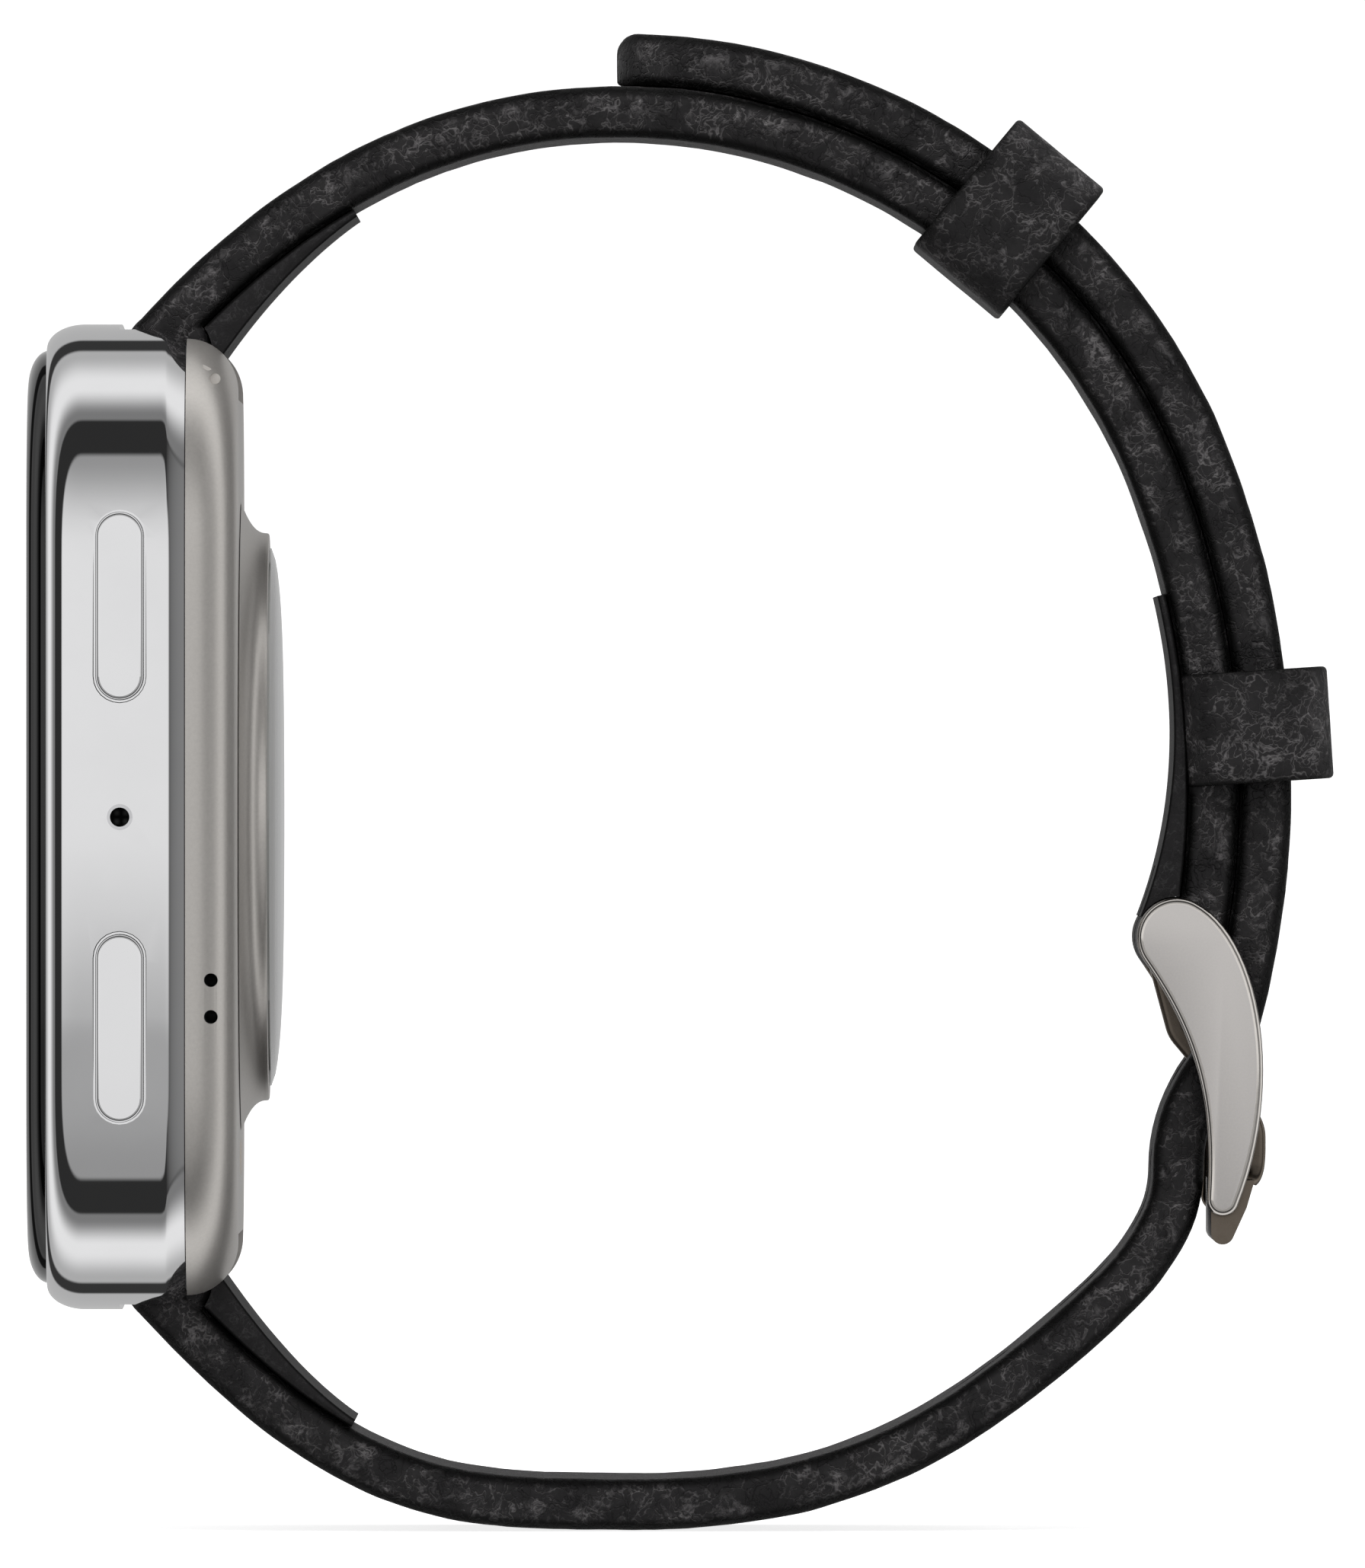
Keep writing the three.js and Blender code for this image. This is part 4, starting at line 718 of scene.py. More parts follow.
class WATCH_OT_case(bpy.types.Operator):
    """Makes the polished case frame, its button pockets, microphone mouth and lug notches"""

    bl_idname = "watch.case"
    bl_label = "Case frame"

    def execute(self, context):
        front, rear = CASE_LOW[1], CASE_HIGH[1]
        # The front bevel is a quarter ellipse, inset = depth (1 - sqrt(1 - t^2)); the rear one
        # is nearly straight, inset = 0.36 t^1.15.
        t = np.sin(np.linspace(math.pi / 2, 0, 16))
        levels = list(zip(front + (1 - t) * FRONT_BEVEL, FRONT_INSET * (1 - np.sqrt(1 - t ** 2))))
        levels += [(front + FRONT_BEVEL + 0.2, 0.0), (rear - REAR_BEVEL - 0.2, 0.0)]
        t = np.linspace(0, 1, 9)
        levels += list(zip(rear - REAR_BEVEL * (1 - t), REAR_INSET * t ** 1.15))
        piece = shell("polished_case", [skin(rings(levels))])
        carve(piece, [slab(GLASS_INSET - 0.06, front - 1, SEAT)])
        carve(piece, [slab(WALL + 0.3, SEAT - 0.1, CAVITY_DEEP + 0.01)])
        carve(piece, [slab(WALL, CAVITY_DEEP, CAVITY_FRONT)])
        carve(piece, [slab(WALL, CAVITY_FRONT - 0.1, rear + 1, CAVITY_TOP)])
        carve(piece, notches())
        mouth = [(0, FLANK - 3), (MICROPHONE, FLANK - 3), (MICROPHONE, FLANK - 0.15),
                 (MICROPHONE + 0.35, FLANK + 0.2), (0, FLANK + 0.2)]
        cuts = [turned(mouth, "X", (0, BUTTON[1], 0), 48)]
        half = (CAP_HIGH - CAP_LOW)[1:] / 2
        along = [POCKET_FLOOR, FLANK - 0.1, FLANK + 0.1]
        for side in (1, -1):
            centre = np.array([0, BUTTON[1], side * BUTTON[2]])
            rows = [np.insert(pill(half[0] + w, half[1] + w), 0, x, axis=1) + centre
                    for x, w in zip(along, (POCKET_GAP, POCKET_GAP, POCKET_FLARE))]
            cuts.append(skin(np.array(rows)))
        carve(piece, cuts)
        reach = NOTCH_HALF + 1.05
        carve(piece, [rod(LUG_HOLE, -reach, reach, "X", (0, BAR[1], side * BAR[2]), 24)
                      for side in (1, -1)])
        place(piece, "watch", "polished_steel", polished_steel(), "case_frame", sharp=22)
        return {"FINISHED"}


class WATCH_OT_cover(bpy.types.Operator):
    """Makes the satin back cover with its vents, contact holes and sensor opening"""

    bl_idname = "watch.cover"
    bl_label = "Back cover"

    def execute(self, context):
        front, rear = COVER_LOW[1], COVER_HIGH[1]
        # The cover rolls over as a quarter ellipse: inset = 0.4 + 2.3 (1 - sqrt(1 - t^2)).
        t = np.sin(np.linspace(0, math.pi / 2, 22))
        levels = list(zip(front + (rear - front) * t, 0.4 + COVER_ROUND * (1 - np.sqrt(1 - t ** 2))))
        piece = shell("satin_back_cover", [skin(rings([(front, 0.46)] + levels))])
        floor = rear - 0.75
        carve(piece, [slab(WALL + 1.4, front - 1, floor, CAVITY_TOP - 0.7)])
        carve(piece, [rod(SENSOR_NECK + 0.06, floor - 1, rear + 1, "Y", (0, 0, 0))])
        carve(piece, notches())
        holes = [rod(size, start, FLANK + 1, "X", (0, y, z), 24) for y, z, start, size in VENTS]
        for node_name in ("charge_contact_left", "charge_contact_right"):
            low, high = corners(node_name)
            middle = (low + high) / 2
            holes.append(rod(CONTACT_HOLE, floor - 1, rear + 1, "Y", (middle[0], 0, middle[2]), 32))
        carve(piece, holes)
        place(piece, "watch", "back_cover_coating", satin_cover(), "back_cover", sharp=28)
        return {"FINISHED"}


class WATCH_OT_glass(bpy.types.Operator):
    """Makes the curved cover glass"""

    bl_idname = "watch.glass"
    bl_label = "Cover glass"

    def execute(self, context):
        # The edge is a quarter ellipse: inset = 1.15 + 1.5 (1 - sqrt(1 - (1 - t)^2)).
        t = 1 - np.cos(np.linspace(0, math.pi / 2, 18))
        inset = GLASS_INSET + GLASS_EDGE * (1 - np.sqrt(1 - (1 - t) ** 2))
        levels = list(zip(CASE_LOW[1] * t, inset)) + [(GLASS_HIGH[1], GLASS_INSET)]
        piece = shell("curved_cover_glass", [skin(rings(levels))])
        place(piece, "watch", "cover_glass", black_glass(), "cover_glass")
        return {"FINISHED"}


class WATCH_OT_sensor(bpy.types.Operator):
    """Makes the sensor's flared bezel and its domed crystal"""

    bl_idname = "watch.sensor"
    bl_label = "Sensor"

    def execute(self, context):
        base, top = COVER_HIGH[1] + 0.04, BEZEL_HIGH[1]
        outer, rim = BEZEL_HIGH[0], BEZEL_HIGH[0] - 1.3
        seat = top - 0.55
        # The skirt is a hollow curve: each radius falls as (1 - t)^2.4 while it rises.
        t = np.linspace(0, 1, 16)
        skirt = list(zip(rim + (outer - rim) * (1 - t) ** 2.4, base + (top - 0.1 - base) * t))
        lip = [(rim - 0.03, top - 0.03), (rim - 0.1, top)]
        inner = [(LENS_RADIUS + 0.1, top), (LENS_RADIUS + 0.06, top - 0.04), (LENS_RADIUS + 0.06, seat),
                 (SENSOR_NECK - 0.5, seat), (SENSOR_NECK - 0.5, BEZEL_LOW[1]),
                 (SENSOR_NECK, BEZEL_LOW[1]), (SENSOR_NECK, base)]
        bezel = shell("sensor_flared_bezel", [turned(skirt + lip + inner, "Y", (0, 0, 0), 160, True)])
        place(bezel, "watch", "back_cover_coating", satin_cover(), "sensor_bezel", sharp=35)
        # The crystal stands over the rim by its rise times sqrt(1 - 0.98 f^4), f from 1 to 0.
        f = np.linspace(1, 0, 24)
        rise = LENS_HIGH[1] - top
        dome = list(zip(LENS_RADIUS * f, top + rise * np.sqrt(1 - 0.98 * f ** 4)))
        lens = shell("sensor_crystal_dome", [turned(
            [(0, LENS_LOW[1]), (LENS_RADIUS, LENS_LOW[1])] + dome, "Y", (0, 0, 0), 160)])
        place(lens, "watch", "sensor_lens", sensor_crystal(), "sensor_lens", sharp=35)
        return {"FINISHED"}


class WATCH_OT_buttons(bpy.types.Operator):
    """Makes the two side buttons, each a pill cap with a polished rim on a turned stem"""

    bl_idname = "watch.buttons"
    bl_label = "Buttons"

    def execute(self, context):
        steel = polished_steel()
        steel.name = "polished_button_steel"
        chamfer = context.scene.watch_sizes.button_chamfer / MM
        face, back = CAP_HIGH[0], CAP_HIGH[0] - 0.85
        a = np.linspace(0, math.pi / 2, 6)
        rows = [(back, 0.1), (back + 0.08, 0.0), (face - chamfer, 0.0)]
        rows += list(zip(face - chamfer * (1 - np.sin(a[1:])) - 0.02, chamfer * (1 - np.cos(a[1:]))))
        rows += [(face, chamfer + 0.02), (face, chamfer + 0.1)]
        for side, name in ((1, "upper"), (-1, "lower")):
            low, high = corners(name + "_button")
            middle = (low + high) / 2
            half = (high - low)[1:] / 2
            flat = np.array([np.insert(pill(half[0] - i, half[1] - i, 20), 0, x, axis=1)
                             for x, i in rows])
            cap = skin(flat + np.array([0, middle[1], middle[2]]))
            stem = [(0, low[0]), (0.6, low[0]), (0.6, 15.9), (0.48, 15.9), (0.48, 16.25),
                    (0.6, 16.25), (0.6, back + 0.4), (0, back + 0.4)]
            piece = shell(name + "_button_cap", [cap])
            carve(piece, [turned(stem, "X", (0, middle[1], middle[2]), 32)], "UNION")
            place(piece, name + "_button", "polished_steel", steel, name + "_button", sharp=24)
        return {"FINISHED"}


def section(half_width, inner, outer, edge, columns=(26, 5, 6)):
    """Strap section for each station, as (stations, columns) arrays of X and outward.

    A rounded rectangle whose faces bow out a little, walked once round; the third array
    marks the rounded edges that are darkened with edge ink and painted shade: 1 on them and 0 on the flats.
    """
    wide, high, turn = columns
    t = np.linspace(0, math.pi / 2, turn + 1)
    runs = [np.linspace(-1, 1, high + 2)[1:-1], np.linspace(1, -1, wide + 2)[1:-1]]
    u = np.concatenate([np.ones(high), np.ones(turn + 1), runs[1], -np.ones(turn + 1)])
    v = np.concatenate([runs[0], np.ones(turn + 1), np.ones(wide), np.ones(turn + 1)])
    cu = np.concatenate([np.ones(high), np.cos(t), np.zeros(wide), -np.cos(t[::-1])])
    cv = np.concatenate([np.zeros(high), np.sin(t), np.ones(wide), np.sin(t[::-1])])
    worked = np.concatenate([np.zeros(high), np.sin(2 * t), np.zeros(wide), np.sin(2 * t)])
    u, v = np.append(u, -u), np.append(v, -v)
    cu, cv = np.append(cu, -cu), np.append(cv, -cv)
    worked = np.append(worked, worked)
    middle, tall = (inner + outer) / 2, (outer - inner) / 2
    r = np.minimum(edge, np.minimum(half_width, tall) * 0.95)[:, None]
    bow = 0.05 * (1 - v ** 2) * cu
    x = u * (half_width[:, None] - r) + r * cu + bow * (half_width[:, None] > 8)
    out = v * (tall[:, None] - r) + r * cv + middle[:, None]
    return x, out, np.broadcast_to(worked, x.shape)


def sweep(way, half_width, inner, outer, edge, relief, seed):
    """Strap section carried along a route; folds push its skin in and out."""
    x, out, worked = section(half_width, inner, outer, edge)
    y = way[:, 0:1] - out * np.sin(way[:, 2:3])
    z = way[:, 1:2] + out * np.cos(way[:, 2:3])
    points = np.stack([x, y, z], -1)
    across = np.roll(points, -1, 1) - np.roll(points, 1, 1)
    along = np.gradient(points, axis=0)
    square = np.cross(across, along)
    square /= np.linalg.norm(square, axis=-1, keepdims=True) + 1e-12
    fold = creases(points.reshape(-1, 3), seed).reshape(x.shape)
    points = points + square * (fold * relief)[..., None]
    # The zone of painted sheen is a bell curve across the thickness, two thirds of the way out.
    depth = (out - np.asarray(inner)[:, None]) / (np.asarray(outer) - np.asarray(inner))[:, None]
    return points, worked, np.exp(-((depth - 0.66) / 0.2) ** 2)


def mark_edges(piece, worked, painted_sheen):
    """Stores how far each vertex lies on a worked edge, darkened with edge ink and painted shade, and in
    the zone of painted sheen; cuts keep both.
    """
    for name, values in (("inked_and_shaded_edge", worked), ("outer_side", painted_sheen)):
        layer = piece.data.attributes.new(name, "FLOAT", "POINT")
        filled = np.zeros(len(piece.data.vertices))
        filled[:values.size] = values.reshape(-1)
        layer.data.foreach_set("value", filled)


def bar_loop(side):
    """Tube of leather round a spring bar, and the bore through it."""
    centre = (0, BAR[1], side * BAR[2])
    half = STRAP_HALF_LUG - 0.12
    return barrel(LOOP, half, 0.3, centre, 64), rod(BAR_BORE, -half - 1, half + 1, "X", centre, 32)


def lever_slot(side):
    """Opening in the loop for the release pin's lever, square to the strap's inner face."""
    heading = math.radians(LUG_HEADING if side > 0 else 180 - LUG_HEADING)
    return channel((BAR[1], side * BAR[2], heading), 0.66, (0.0, -4.0), (5.24, 7.86))


def tang_room():
    """Space round the pin that the tang's ring turns in."""
    slot = TANG_HALF + 0.3
    return rod(TANG_ROOM, -slot, slot, "X", (0, PIN[1], PIN[2]), 48)


class WATCH_OT_straps(bpy.types.Operator):
    """Makes the two leather straps, with their loops, edge work and adjustment holes"""

    bl_idname = "watch.straps"
    bl_label = "Straps"

    def execute(self, context):
        sizes, colours = context.scene.watch_sizes, context.scene.watch_colours
        edge, relief = sizes.edge_round / MM, sizes.relief / MM
        leather = grained_leather("grained_calf_leather", colours.body, colours.fold_and_sheen,
                                  sizes.grain / MM, 0.1, (0.42, 0.6))
        self.upper(edge, relief, leather)
        self.lower(edge, relief, leather)
        return {"FINISHED"}

    def upper(self, edge, relief, leather):
        """The short strap, from the upper lug to the buckle's pin."""
        way = UPPER_WAY
        flat = np.full(len(way), HALF_THICK)
        points, worked, painted_sheen = sweep(way, lug_half(way[:, 3]), -flat, flat, edge, relief, 11)
        piece = shell("upper_leather_strap", [skin(points)])
        mark_edges(piece, worked, painted_sheen)
        tube, bore = bar_loop(1)
        centre = (0, PIN[1], PIN[2])
        half = STRAP_HALF - 0.1
        carve(piece, [tube, barrel(PIN_LOOP, half, 0.25, centre, 64)], "UNION")
        carve(piece, [bore, rod(PIN_BORE, -half - 1, half + 1, "X", centre, 32)])
        carve(piece, [lever_slot(1), tang_room()])
        carve(piece, [channel(FIXED_KEEPER, KEEPER_GROOVE, (-3.0, -0.34), (-11, 11))])
        place(piece, "watch", "strap_leather", leather, "upper_strap", sharp=40)

    def lower(self, edge, relief, leather):
        """The long strap, from its tail over the upper one, through the buckle, to its lug."""
        total = LOWER_WAY[-1, 3]
        start = 0.9 * (1 - np.cos(np.linspace(0, math.pi / 2, 9)))
        way = stations(LOWER_WAY, np.append(start, LOWER_WAY[LOWER_WAY[:, 3] > 1.1, 3]))
        s = way[:, 3]
        f = np.minimum(1, s / TIP_LENGTH)
        half_width = lug_half(total - s) * (0.35 + 0.65 * np.sqrt(1 - (1 - f) ** 2))
        near = 1 - np.clip(s / 0.9, 0, 1)
        sunk = 0.85 * (1 - np.sqrt(1 - near ** 2))
        points, worked, painted_sheen = sweep(way, half_width - 0.4 * sunk, -HALF_THICK + 0.25 * sunk,
                                     HALF_THICK - sunk, edge, relief, 23)
        piece = shell("lower_leather_strap", [skin(points)])
        mark_edges(piece, worked, painted_sheen)
        tube, bore = bar_loop(-1)
        carve(piece, [tube], "UNION")
        holes = []
        for k in range(-3, 4):
            at = stations(LOWER_WAY, [CROSSING + k * HOLE_PITCH])[0]
            rim = pill(*HOLE_HALF)
            rows = []
            for out, grow in ((-2, 0), (1.0, 0), (1.2, 0.15), (2, 0.5)):
                flat = rim * (1 + grow / HOLE_HALF[1])
                rows.append(np.stack([flat[:, 0], *beside(at, flat[:, 1], out)], -1))
            holes.append(skin(np.array(rows)))
        carve(piece, holes + [bore])
        carve(piece, [lever_slot(-1)])
        place(piece, "watch", "strap_leather", leather, "lower_strap", sharp=40)


class WATCH_OT_tabs(bpy.types.Operator):
    """Makes the skived lining tabs at the lugs and behind the buckle"""

    bl_idname = "watch.tabs"
    bl_label = "Lining tabs"

    def execute(self, context):
        # 4A494A is the lining's pale fold colour, partly a painted highlight on its wrinkles and the colour
        # of its painted sheen.
        lining = grained_leather("smooth_lining_leather", context.scene.watch_colours.lining,
                                 "#4A494A", 0.9, 0.015, (0.5, 0.62))
        upper_total, lower_total = UPPER_WAY[-1, 3], LOWER_WAY[-1, 3]
        jobs = [
            ("upper_lug_tab", UPPER_WAY, 0.9, 10.6, 1.55, False, 1.2, 1),
            ("lower_lug_tab", LOWER_WAY, lower_total - 10.6, lower_total - 0.9, 1.55, True, 1.2, -1),
            ("buckle_tab", UPPER_WAY, upper_total - 15.5, upper_total - 0.6, 1.575, True, 2.4, 0),
        ]
        for name, route, start, end, root, root_last, taper, side in jobs:
            way = stations(route, np.linspace(start, end, 40))
            s = way[:, 3]
            f = ((s - start) if root_last else (end - s)) / (end - start)
            thick = 0.35 + (root - 0.35) * f.clip(0) ** taper
            width = lug_half(s if route is UPPER_WAY else lower_total - s) - 0.02
            face = -HALF_THICK - 0.04
            points, worked, painted_sheen = sweep(way, width, face - thick, face + 0 * s, 0.12, 0.006, 31)
            piece = shell(name + "_leather", [skin(points)])
            mark_edges(piece, worked, painted_sheen)
            if side:
                carve(piece, [rod(1.95, -15, 15, "X", (0, BAR[1], side * BAR[2]), 64)])
            else:
                carve(piece, [rod(1.8, -15, 15, "X", (0, PIN[1], PIN[2]), 64)])
                carve(piece, [tang_room()])
            place(piece, "watch", "lining_leather", lining, name, sharp=40)
        return {"FINISHED"}


def keeper_band(at, inner, outer, seed):
    """Closed leather band round a station.

    Wall sections are rounded rectangles between an inner and an outer outline with equal
    point counts, so the band closes both ways.
    """
    middle, tall = (inner + outer) / 2, (outer - inner) / 2
    outside = rounded(KEEPER_HALF_OUT, tall, KEEPER_CORNER, 10, 8) + [0, middle]
    open_tall = tall - (KEEPER_WALL + KEEPER_FLOOR) / 2
    open_middle = middle + (KEEPER_FLOOR - KEEPER_WALL) / 2
    inside = rounded(KEEPER_HALF_OUT - KEEPER_WALL, open_tall, 0.3, 10, 8) + [0, open_middle]
    wall = rounded(0.5, KEEPER_LENGTH / 2, 0.22, 4, 6)
    part = (wall[:, 0] + 0.5)[:, None, None]
    flat = inside[None] * (1 - part) + outside[None] * part
    along = wall[:, 1][:, None] + 0 * flat[..., 0]
    out = flat[..., 1]
    points = np.stack([flat[..., 0], *beside(at, along, out)], -1)
    centre = np.array([0, *beside(at, 0, middle)])
    away = points - centre
    away /= np.linalg.norm(away, axis=-1, keepdims=True)
    fold = creases(points.reshape(-1, 3), seed).reshape(points.shape[:2])
    lift = np.clip((part[..., 0] - 0.5) * 2, 0, 1)
    points = points + away * (fold * lift * 0.03)[..., None]
    # The band's two rims are darkened: partly edge ink, partly painted shade where they turn away.
    rim = np.clip(np.abs(wall[:, 1]) - (KEEPER_LENGTH / 2 - 0.3), 0, 0.3) / 0.3
    # The painted sheen rises smoothly over the outermost fifth of the band.
    painted_sheen = np.clip((out - inner) / (outer - inner) * 5 - 4, 0, 1)
    return points, np.broadcast_to(rim[:, None], points.shape[:2]), painted_sheen


class WATCH_OT_keepers(bpy.types.Operator):
    """Makes the fixed keeper and the sliding one"""

    bl_idname = "watch.keepers"
    bl_label = "Keepers"

    def execute(self, context):
        sizes, colours = context.scene.watch_sizes, context.scene.watch_colours
        leather = grained_leather("keeper_calf_leather", colours.body, colours.fold_and_sheen,
                                  sizes.grain / MM, 0.09, (0.4, 0.58))
        angle = math.radians(FREE_KEEPER_ANGLE)
        free = (HOOP[0] + UPPER_RADIUS * math.cos(angle), HOOP[1] + UPPER_RADIUS * math.sin(angle),
                angle - math.pi / 2)
        for name, at, inner, body, seed in (("fixed_keeper", FIXED_KEEPER, -1.2, "watch", 41),
                                            ("free_keeper", free, -1.985, "free_keeper", 43)):
            points, worked, painted_sheen = keeper_band(at, inner, KEEPER_OUT, seed)
            piece = shell(name + "_band", [skin(points, True)])
            mark_edges(piece, worked, painted_sheen)
            place(piece, body, "strap_leather", leather, name, sharp=45)
        return {"FINISHED"}


def arc(cy, cz, radius, start, end, count):
    """Points of a circle's arc between two angles in degrees."""
    a = np.radians(np.linspace(start, end, count))
    return np.stack([cy + radius * np.cos(a), cz + radius * np.sin(a)], -1)


def bend(points, count=24):
    """Points of a cubic curve through four control points, without its two ends."""
    t = np.linspace(0, 1, count + 2)[1:-1, None]
    p = np.array(points, float)
    return ((1 - t) ** 3 * p[0] + 3 * (1 - t) ** 2 * t * p[1]
            + 3 * (1 - t) * t ** 2 * p[2] + t ** 3 * p[3])


def cheek_outline():
    """Side of the buckle, about its pin: a round head, and a leg that curves to a small foot."""
    head = arc(0, 0, PIN_LOOP, 62, 215, 28)
    foot = arc(2.0, -11.44, 0.7, 175, 338, 20)
    return np.concatenate([
        head, bend([head[-1], (0.4, -3.65), (1.65, -6.4), foot[0]]),
        foot, bend([foot[-1], (4.8, -6.3), (3.65, 0.05), head[0]]),
    ]) + PIN[1:]


class WATCH_OT_buckle(bpy.types.Operator):
    """Makes the buckle's frame: two bevelled cheeks and the bar between their feet"""

    bl_idname = "watch.buckle"
    bl_label = "Buckle frame"

    def execute(self, context):
        flat = cheek_outline()
        inner, outer = CHEEK_OUTER - CHEEK, CHEEK_OUTER
        a = np.linspace(0, math.pi / 2, 6)
        near = list(zip(inner + 0.2 * (1 - np.cos(a)), 0.2 * (1 - np.sin(a))))
        far = list(zip(outer - 0.28 * (1 - np.sin(a)), 0.28 * (1 - np.cos(a))))
        along, insets = np.array(near + far).T
        cheeks = [skin(plate(flat, side * along, insets)) for side in (1, -1)]
        bar = np.concatenate([
            [(3.4, -10.6), (1.5, -10.6), (1.5, -12.9)], arc(2.0, -12.9, 0.5, 180, 335, 12)[1:],
            [(3.05, -11.8)],
        ]) + PIN[1:]
        reach = inner + 0.5
        piece = shell("buckle_body", [skin(plate(bar, [-reach, reach]))])
        carve(piece, cheeks, "UNION")
        groove = TANG_HALF + 0.3
        carve(piece, [channel(TANG_WAY[-1], 4, (-0.51, 4.0), (-groove, groove))])
        carve(piece, [rod(0.79, -inner - 1, inner + 1, "X", (0, PIN[1], PIN[2]), 40)])
        place(piece, "buckle", "buckle_steel", [brushed_buckle(), polished_buckle(), warm_shaded_buckle()],
              "buckle_frame", sharp=26)
        self.finish_faces(piece)
        return {"FINISHED"}

    def finish_faces(self, piece):
        """Satin on the flat cheek faces, polished on the bevels, warm and darkened with painted shade on
        the rims, which turn away from the X axis, and on the bar.
        """
        square = np.empty(len(piece.data.polygons) * 3)
        piece.data.polygons.foreach_get("normal", square)
        centre = np.zeros(3 * len(piece.data.polygons))
        piece.data.polygons.foreach_get("center", centre)
        facing = np.abs(square.reshape(-1, 3)[:, 0])
        cheek = np.abs(centre.reshape(-1, 3)[:, 0]) > (CHEEK_OUTER - 0.5) * MM
        kind = np.where(cheek & (facing > 0.25), np.where(facing > 0.999, 0, 1), 2)
        piece.data.polygons.foreach_set("material_index", kind)


TANG_WAY = lay((PIN[1] - 0.68, PIN[2] - 1.12), -75, [
    ("line", 2.9), ("arc", 1.2, -25), ("line", 4.5), ("arc", 1.5, 40), ("line", 0.5), ("arc", 6, 15),
], pitch=0.15)


class WATCH_OT_tang(bpy.types.Operator):
    """Makes the buckle's tang: a bent tongue on a ring round the pin"""

    bl_idname = "watch.tang"
    bl_label = "Tang"

    def execute(self, context):
        way = TANG_WAY
        s = way[:, 3]
        left = s[-1] - s
        tip = np.sqrt(1 - (1 - np.clip(left / 0.9, 0.02, 1)) ** 2)
        half = np.full(len(way), TANG_HALF) * (0.4 + 0.6 * tip)
        thick = 0.45 * (0.45 + 0.55 * tip)
        points, _, _ = sweep(way, half, -thick, thick, 0.22, 0.0, 5)
        piece = shell("buckle_tongue", [skin(points)])
        centre, reach = (0, PIN[1], PIN[2]), TANG_HALF + 1
        carve(piece, [barrel(1.35, TANG_HALF, 0.15, centre, 48)], "UNION")
        carve(piece, [rod(0.81, -reach, reach, "X", centre, 40)])
        # The tongue takes the warm coat, made darker as painted shade.
        coat = warm_shaded_buckle()
        coat.name = "coated_shaded_tongue_steel"
        place(piece, "tang", "buckle_steel", coat, "tang", sharp=30)
        return {"FINISHED"}


class WATCH_OT_inside(bpy.types.Operator):
    """Gives every CAD node that stays its real finish"""

    bl_idname = "watch.inside"
    bl_label = "Inner pieces"

    def execute(self, context):
        made = {slot: mottled(*values) for slot, values in INSIDE.items()}
        made["circuit_board"] = circuit_mask()
        special = {"microphone_mesh": woven_mesh()}
        for name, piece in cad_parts.items():
            slot = piece.data.materials[0].name.split(".")[0] if piece.data.materials else ""
            fresh = special.get(name) or made.get(slot)
            if fresh:
                piece.data.materials.clear()
                piece.data.materials.append(fresh)
        return {"FINISHED"}


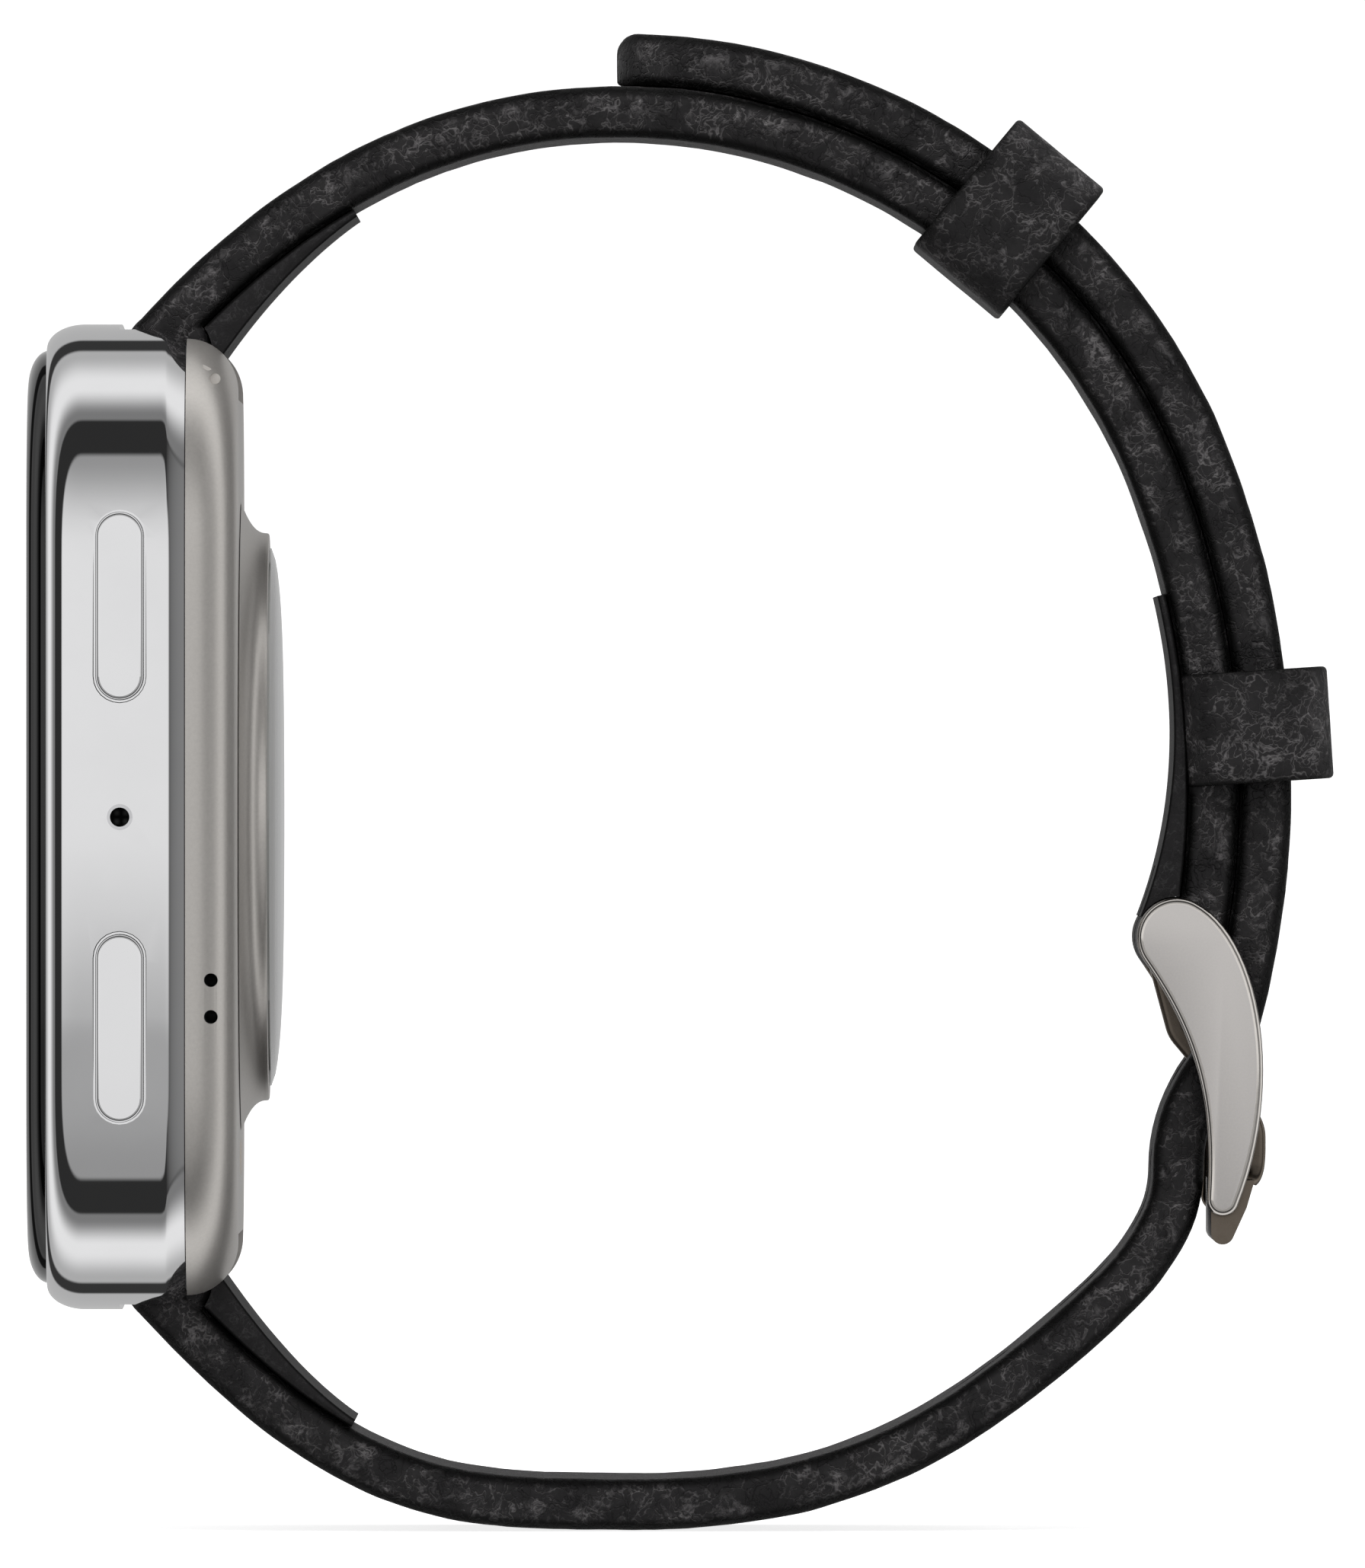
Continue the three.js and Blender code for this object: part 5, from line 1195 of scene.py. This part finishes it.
class WATCH_OT_stage(bpy.types.Operator):
    """Makes the floor, the studio light and the camera"""

    bl_idname = "watch.stage"
    bl_label = "Stage"

    def execute(self, context):
        scene = context.scene
        scene.view_settings.view_transform = "Standard"
        self.floor(CAD_BOX[0][2] - 0.05 * MM)
        self.studio(scene)
        self.camera(scene)
        return {"FINISHED"}

    def floor(self, level):
        """A plain pale sheet that turns up into a round wall far away.

        Polished metal reflects the light tent instead of it.
        """
        r = np.array([0.02, 0.2, 1.5, 9.0, 9.9, 10.0, 10.0])[:, None]
        rise = np.array([0.0, 0.0, 0.0, 0.0, 0.1, 1.0, 6.0])[:, None]
        a = np.linspace(0, 2 * math.pi, 64, endpoint=False)
        points = np.stack([r * np.cos(a), r * np.sin(a), level + rise + 0 * r * a], -1)
        verts, faces = skin(points)
        mesh = bpy.data.meshes.new("pale_floor")
        mesh.from_pydata(verts.tolist(), [], faces[:-1])
        sheet = bpy.data.objects.new("pale_floor", mesh)
        bpy.context.scene.collection.objects.link(sheet)
        matt, tree, shader, where = finish("matt_white_paper", Roughness=0.9, Emission_Strength=0.8)
        noise = node(tree, "ShaderNodeTexNoise", {"Vector": where, "Scale": per_metre(4.0)})
        colour = node(tree, "ShaderNodeMix", {
            0: noise.outputs[0], 6: linear("#F4F4F4"), 7: linear("#FAFAFA")}, data_type="RGBA")
        tree.links.new(colour.outputs[2], shader.inputs["Base Color"])
        shader.inputs["Emission Color"].default_value = (1, 1, 1, 1)
        mesh.materials.append(matt)
        sheet.visible_glossy = False
        sheet.visible_diffuse = False

    def studio(self, scene):
        """A light tent round the object: bright and dark rings about the X axis."""
        world = bpy.data.worlds.new("light_tent")
        scene.world = world
        world.use_nodes = True
        tree = world.node_tree
        tree.nodes.clear()
        toward = node(tree, "ShaderNodeTexCoord").outputs["Generated"]
        parts = node(tree, "ShaderNodeSeparateXYZ", {0: toward})
        side, up = parts.outputs[0], parts.outputs[2]
        # Changes in brightness as the cosine from the +X axis grows: (from, to, change).
        level = self.climb(tree, side, 0.5, (
            (-0.80, -0.76, -0.46), (-0.62, -0.56, 0.46), (-0.5, -0.05, 0.45),
            (0.05, 0.4, -0.72), (0.44, 0.48, -0.2), (0.735, 0.775, 0.32)))
        # The front zone is brightest level with the object, and falls faster downwards.
        high = self.climb(tree, up, 0.0, ((0.02, 0.65, -0.56), (-0.6, -0.05, 0.08), (-0.038, -0.002, 0.48)))
        front = node(tree, "ShaderNodeMapRange", {
            "Value": side, "From Min": 0.735, "From Max": 0.775}, interpolation_type="SMOOTHSTEP")
        core = node(tree, "ShaderNodeMath", {0: high, 1: front.outputs[0]}, operation="MULTIPLY")
        lit = node(tree, "ShaderNodeMath", {0: level, 1: core.outputs[0]}, operation="ADD")
        # The dark ring round the front zone turns grey behind the object.
        ring = self.climb(tree, side, 0.0, ((0.44, 0.5, 1.0), (0.72, 0.775, -1.0)))
        behind = node(tree, "ShaderNodeMapRange", {
            "Value": parts.outputs[1], "From Min": 0.5, "From Max": 0.85, "To Max": 0.26},
            interpolation_type="SMOOTHSTEP")
        grey = node(tree, "ShaderNodeMath", {0: ring, 1: behind.outputs[0]}, operation="MULTIPLY")
        total = node(tree, "ShaderNodeMath", {0: lit.outputs[0], 1: grey.outputs[0]}, operation="ADD")
        back = node(tree, "ShaderNodeBackground", {
            "Color": (1, 1, 1, 1), "Strength": total.outputs[0]})
        node(tree, "ShaderNodeOutputWorld", {"Surface": back.outputs[0]})
        lamp = bpy.data.lights.new("soft_key", "AREA")
        lamp.shape = "DISK"
        lamp.size = 0.5
        lamp.energy = 2.0
        key = bpy.data.objects.new("soft_key", lamp)
        key.location = (0.3, 0.05, 0.6)
        key.rotation_euler = (0, math.radians(26), 0)
        key.visible_glossy = False
        scene.collection.objects.link(key)

    def climb(self, tree, value, start, changes):
        """A brightness that starts at one level and eases by each change in turn."""
        level = start
        for low, high, change in changes:
            ramp = node(tree, "ShaderNodeMapRange", {
                "Value": value, "From Min": low, "From Max": high, "To Min": 0.0, "To Max": change},
                interpolation_type="SMOOTHSTEP")
            level = node(tree, "ShaderNodeMath", {0: ramp.outputs[0], 1: level}, operation="ADD").outputs[0]
        return level

    def camera(self, scene):
        """A long lens at +X, level with the case."""
        data = bpy.data.cameras.new("long_lens")
        data.sensor_fit = "VERTICAL"
        data.sensor_height = 36.0
        data.lens = 1000.0
        data.clip_end = 100.0
        away = SEEN * data.lens / data.sensor_height
        eye = bpy.data.objects.new("long_lens", data)
        eye.location = ((AIM[0] + away) * MM, AIM[1] * MM, AIM[2] * MM)
        eye.rotation_euler = (math.pi / 2, 0, math.pi / 2)
        scene.collection.objects.link(eye)
        scene.camera = eye


PIECES = (WATCH_OT_case, WATCH_OT_cover, WATCH_OT_glass, WATCH_OT_sensor, WATCH_OT_buttons,
          WATCH_OT_straps, WATCH_OT_tabs, WATCH_OT_keepers, WATCH_OT_buckle, WATCH_OT_tang,
          WATCH_OT_inside, WATCH_OT_stage)


class WATCH_PT_panel(bpy.types.Panel):
    """Lists the watch's pieces and their sizes"""

    bl_label = "Smartwatch"
    bl_space_type = "VIEW_3D"
    bl_region_type = "UI"
    bl_category = "Watch"

    def draw(self, context):
        for group in (context.scene.watch_sizes, context.scene.watch_colours):
            for name in group.__annotations__:
                self.layout.prop(group, name)
        for piece in PIECES:
            self.layout.operator(piece.bl_idname)


CLASSES = (WatchSizes, WatchColours) + PIECES + (WATCH_PT_panel,)


def register():
    for one in CLASSES:
        bpy.utils.register_class(one)
    bpy.types.Scene.watch_sizes = bpy.props.PointerProperty(type=WatchSizes)
    bpy.types.Scene.watch_colours = bpy.props.PointerProperty(type=WatchColours)


def unregister():
    del bpy.types.Scene.watch_sizes
    del bpy.types.Scene.watch_colours
    for one in reversed(CLASSES):
        bpy.utils.unregister_class(one)


def main():
    """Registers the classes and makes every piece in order."""
    register()
    for piece in PIECES:
        group, name = piece.bl_idname.split(".")
        getattr(getattr(bpy.ops, group), name)()


if __name__ == "__main__":
    main()
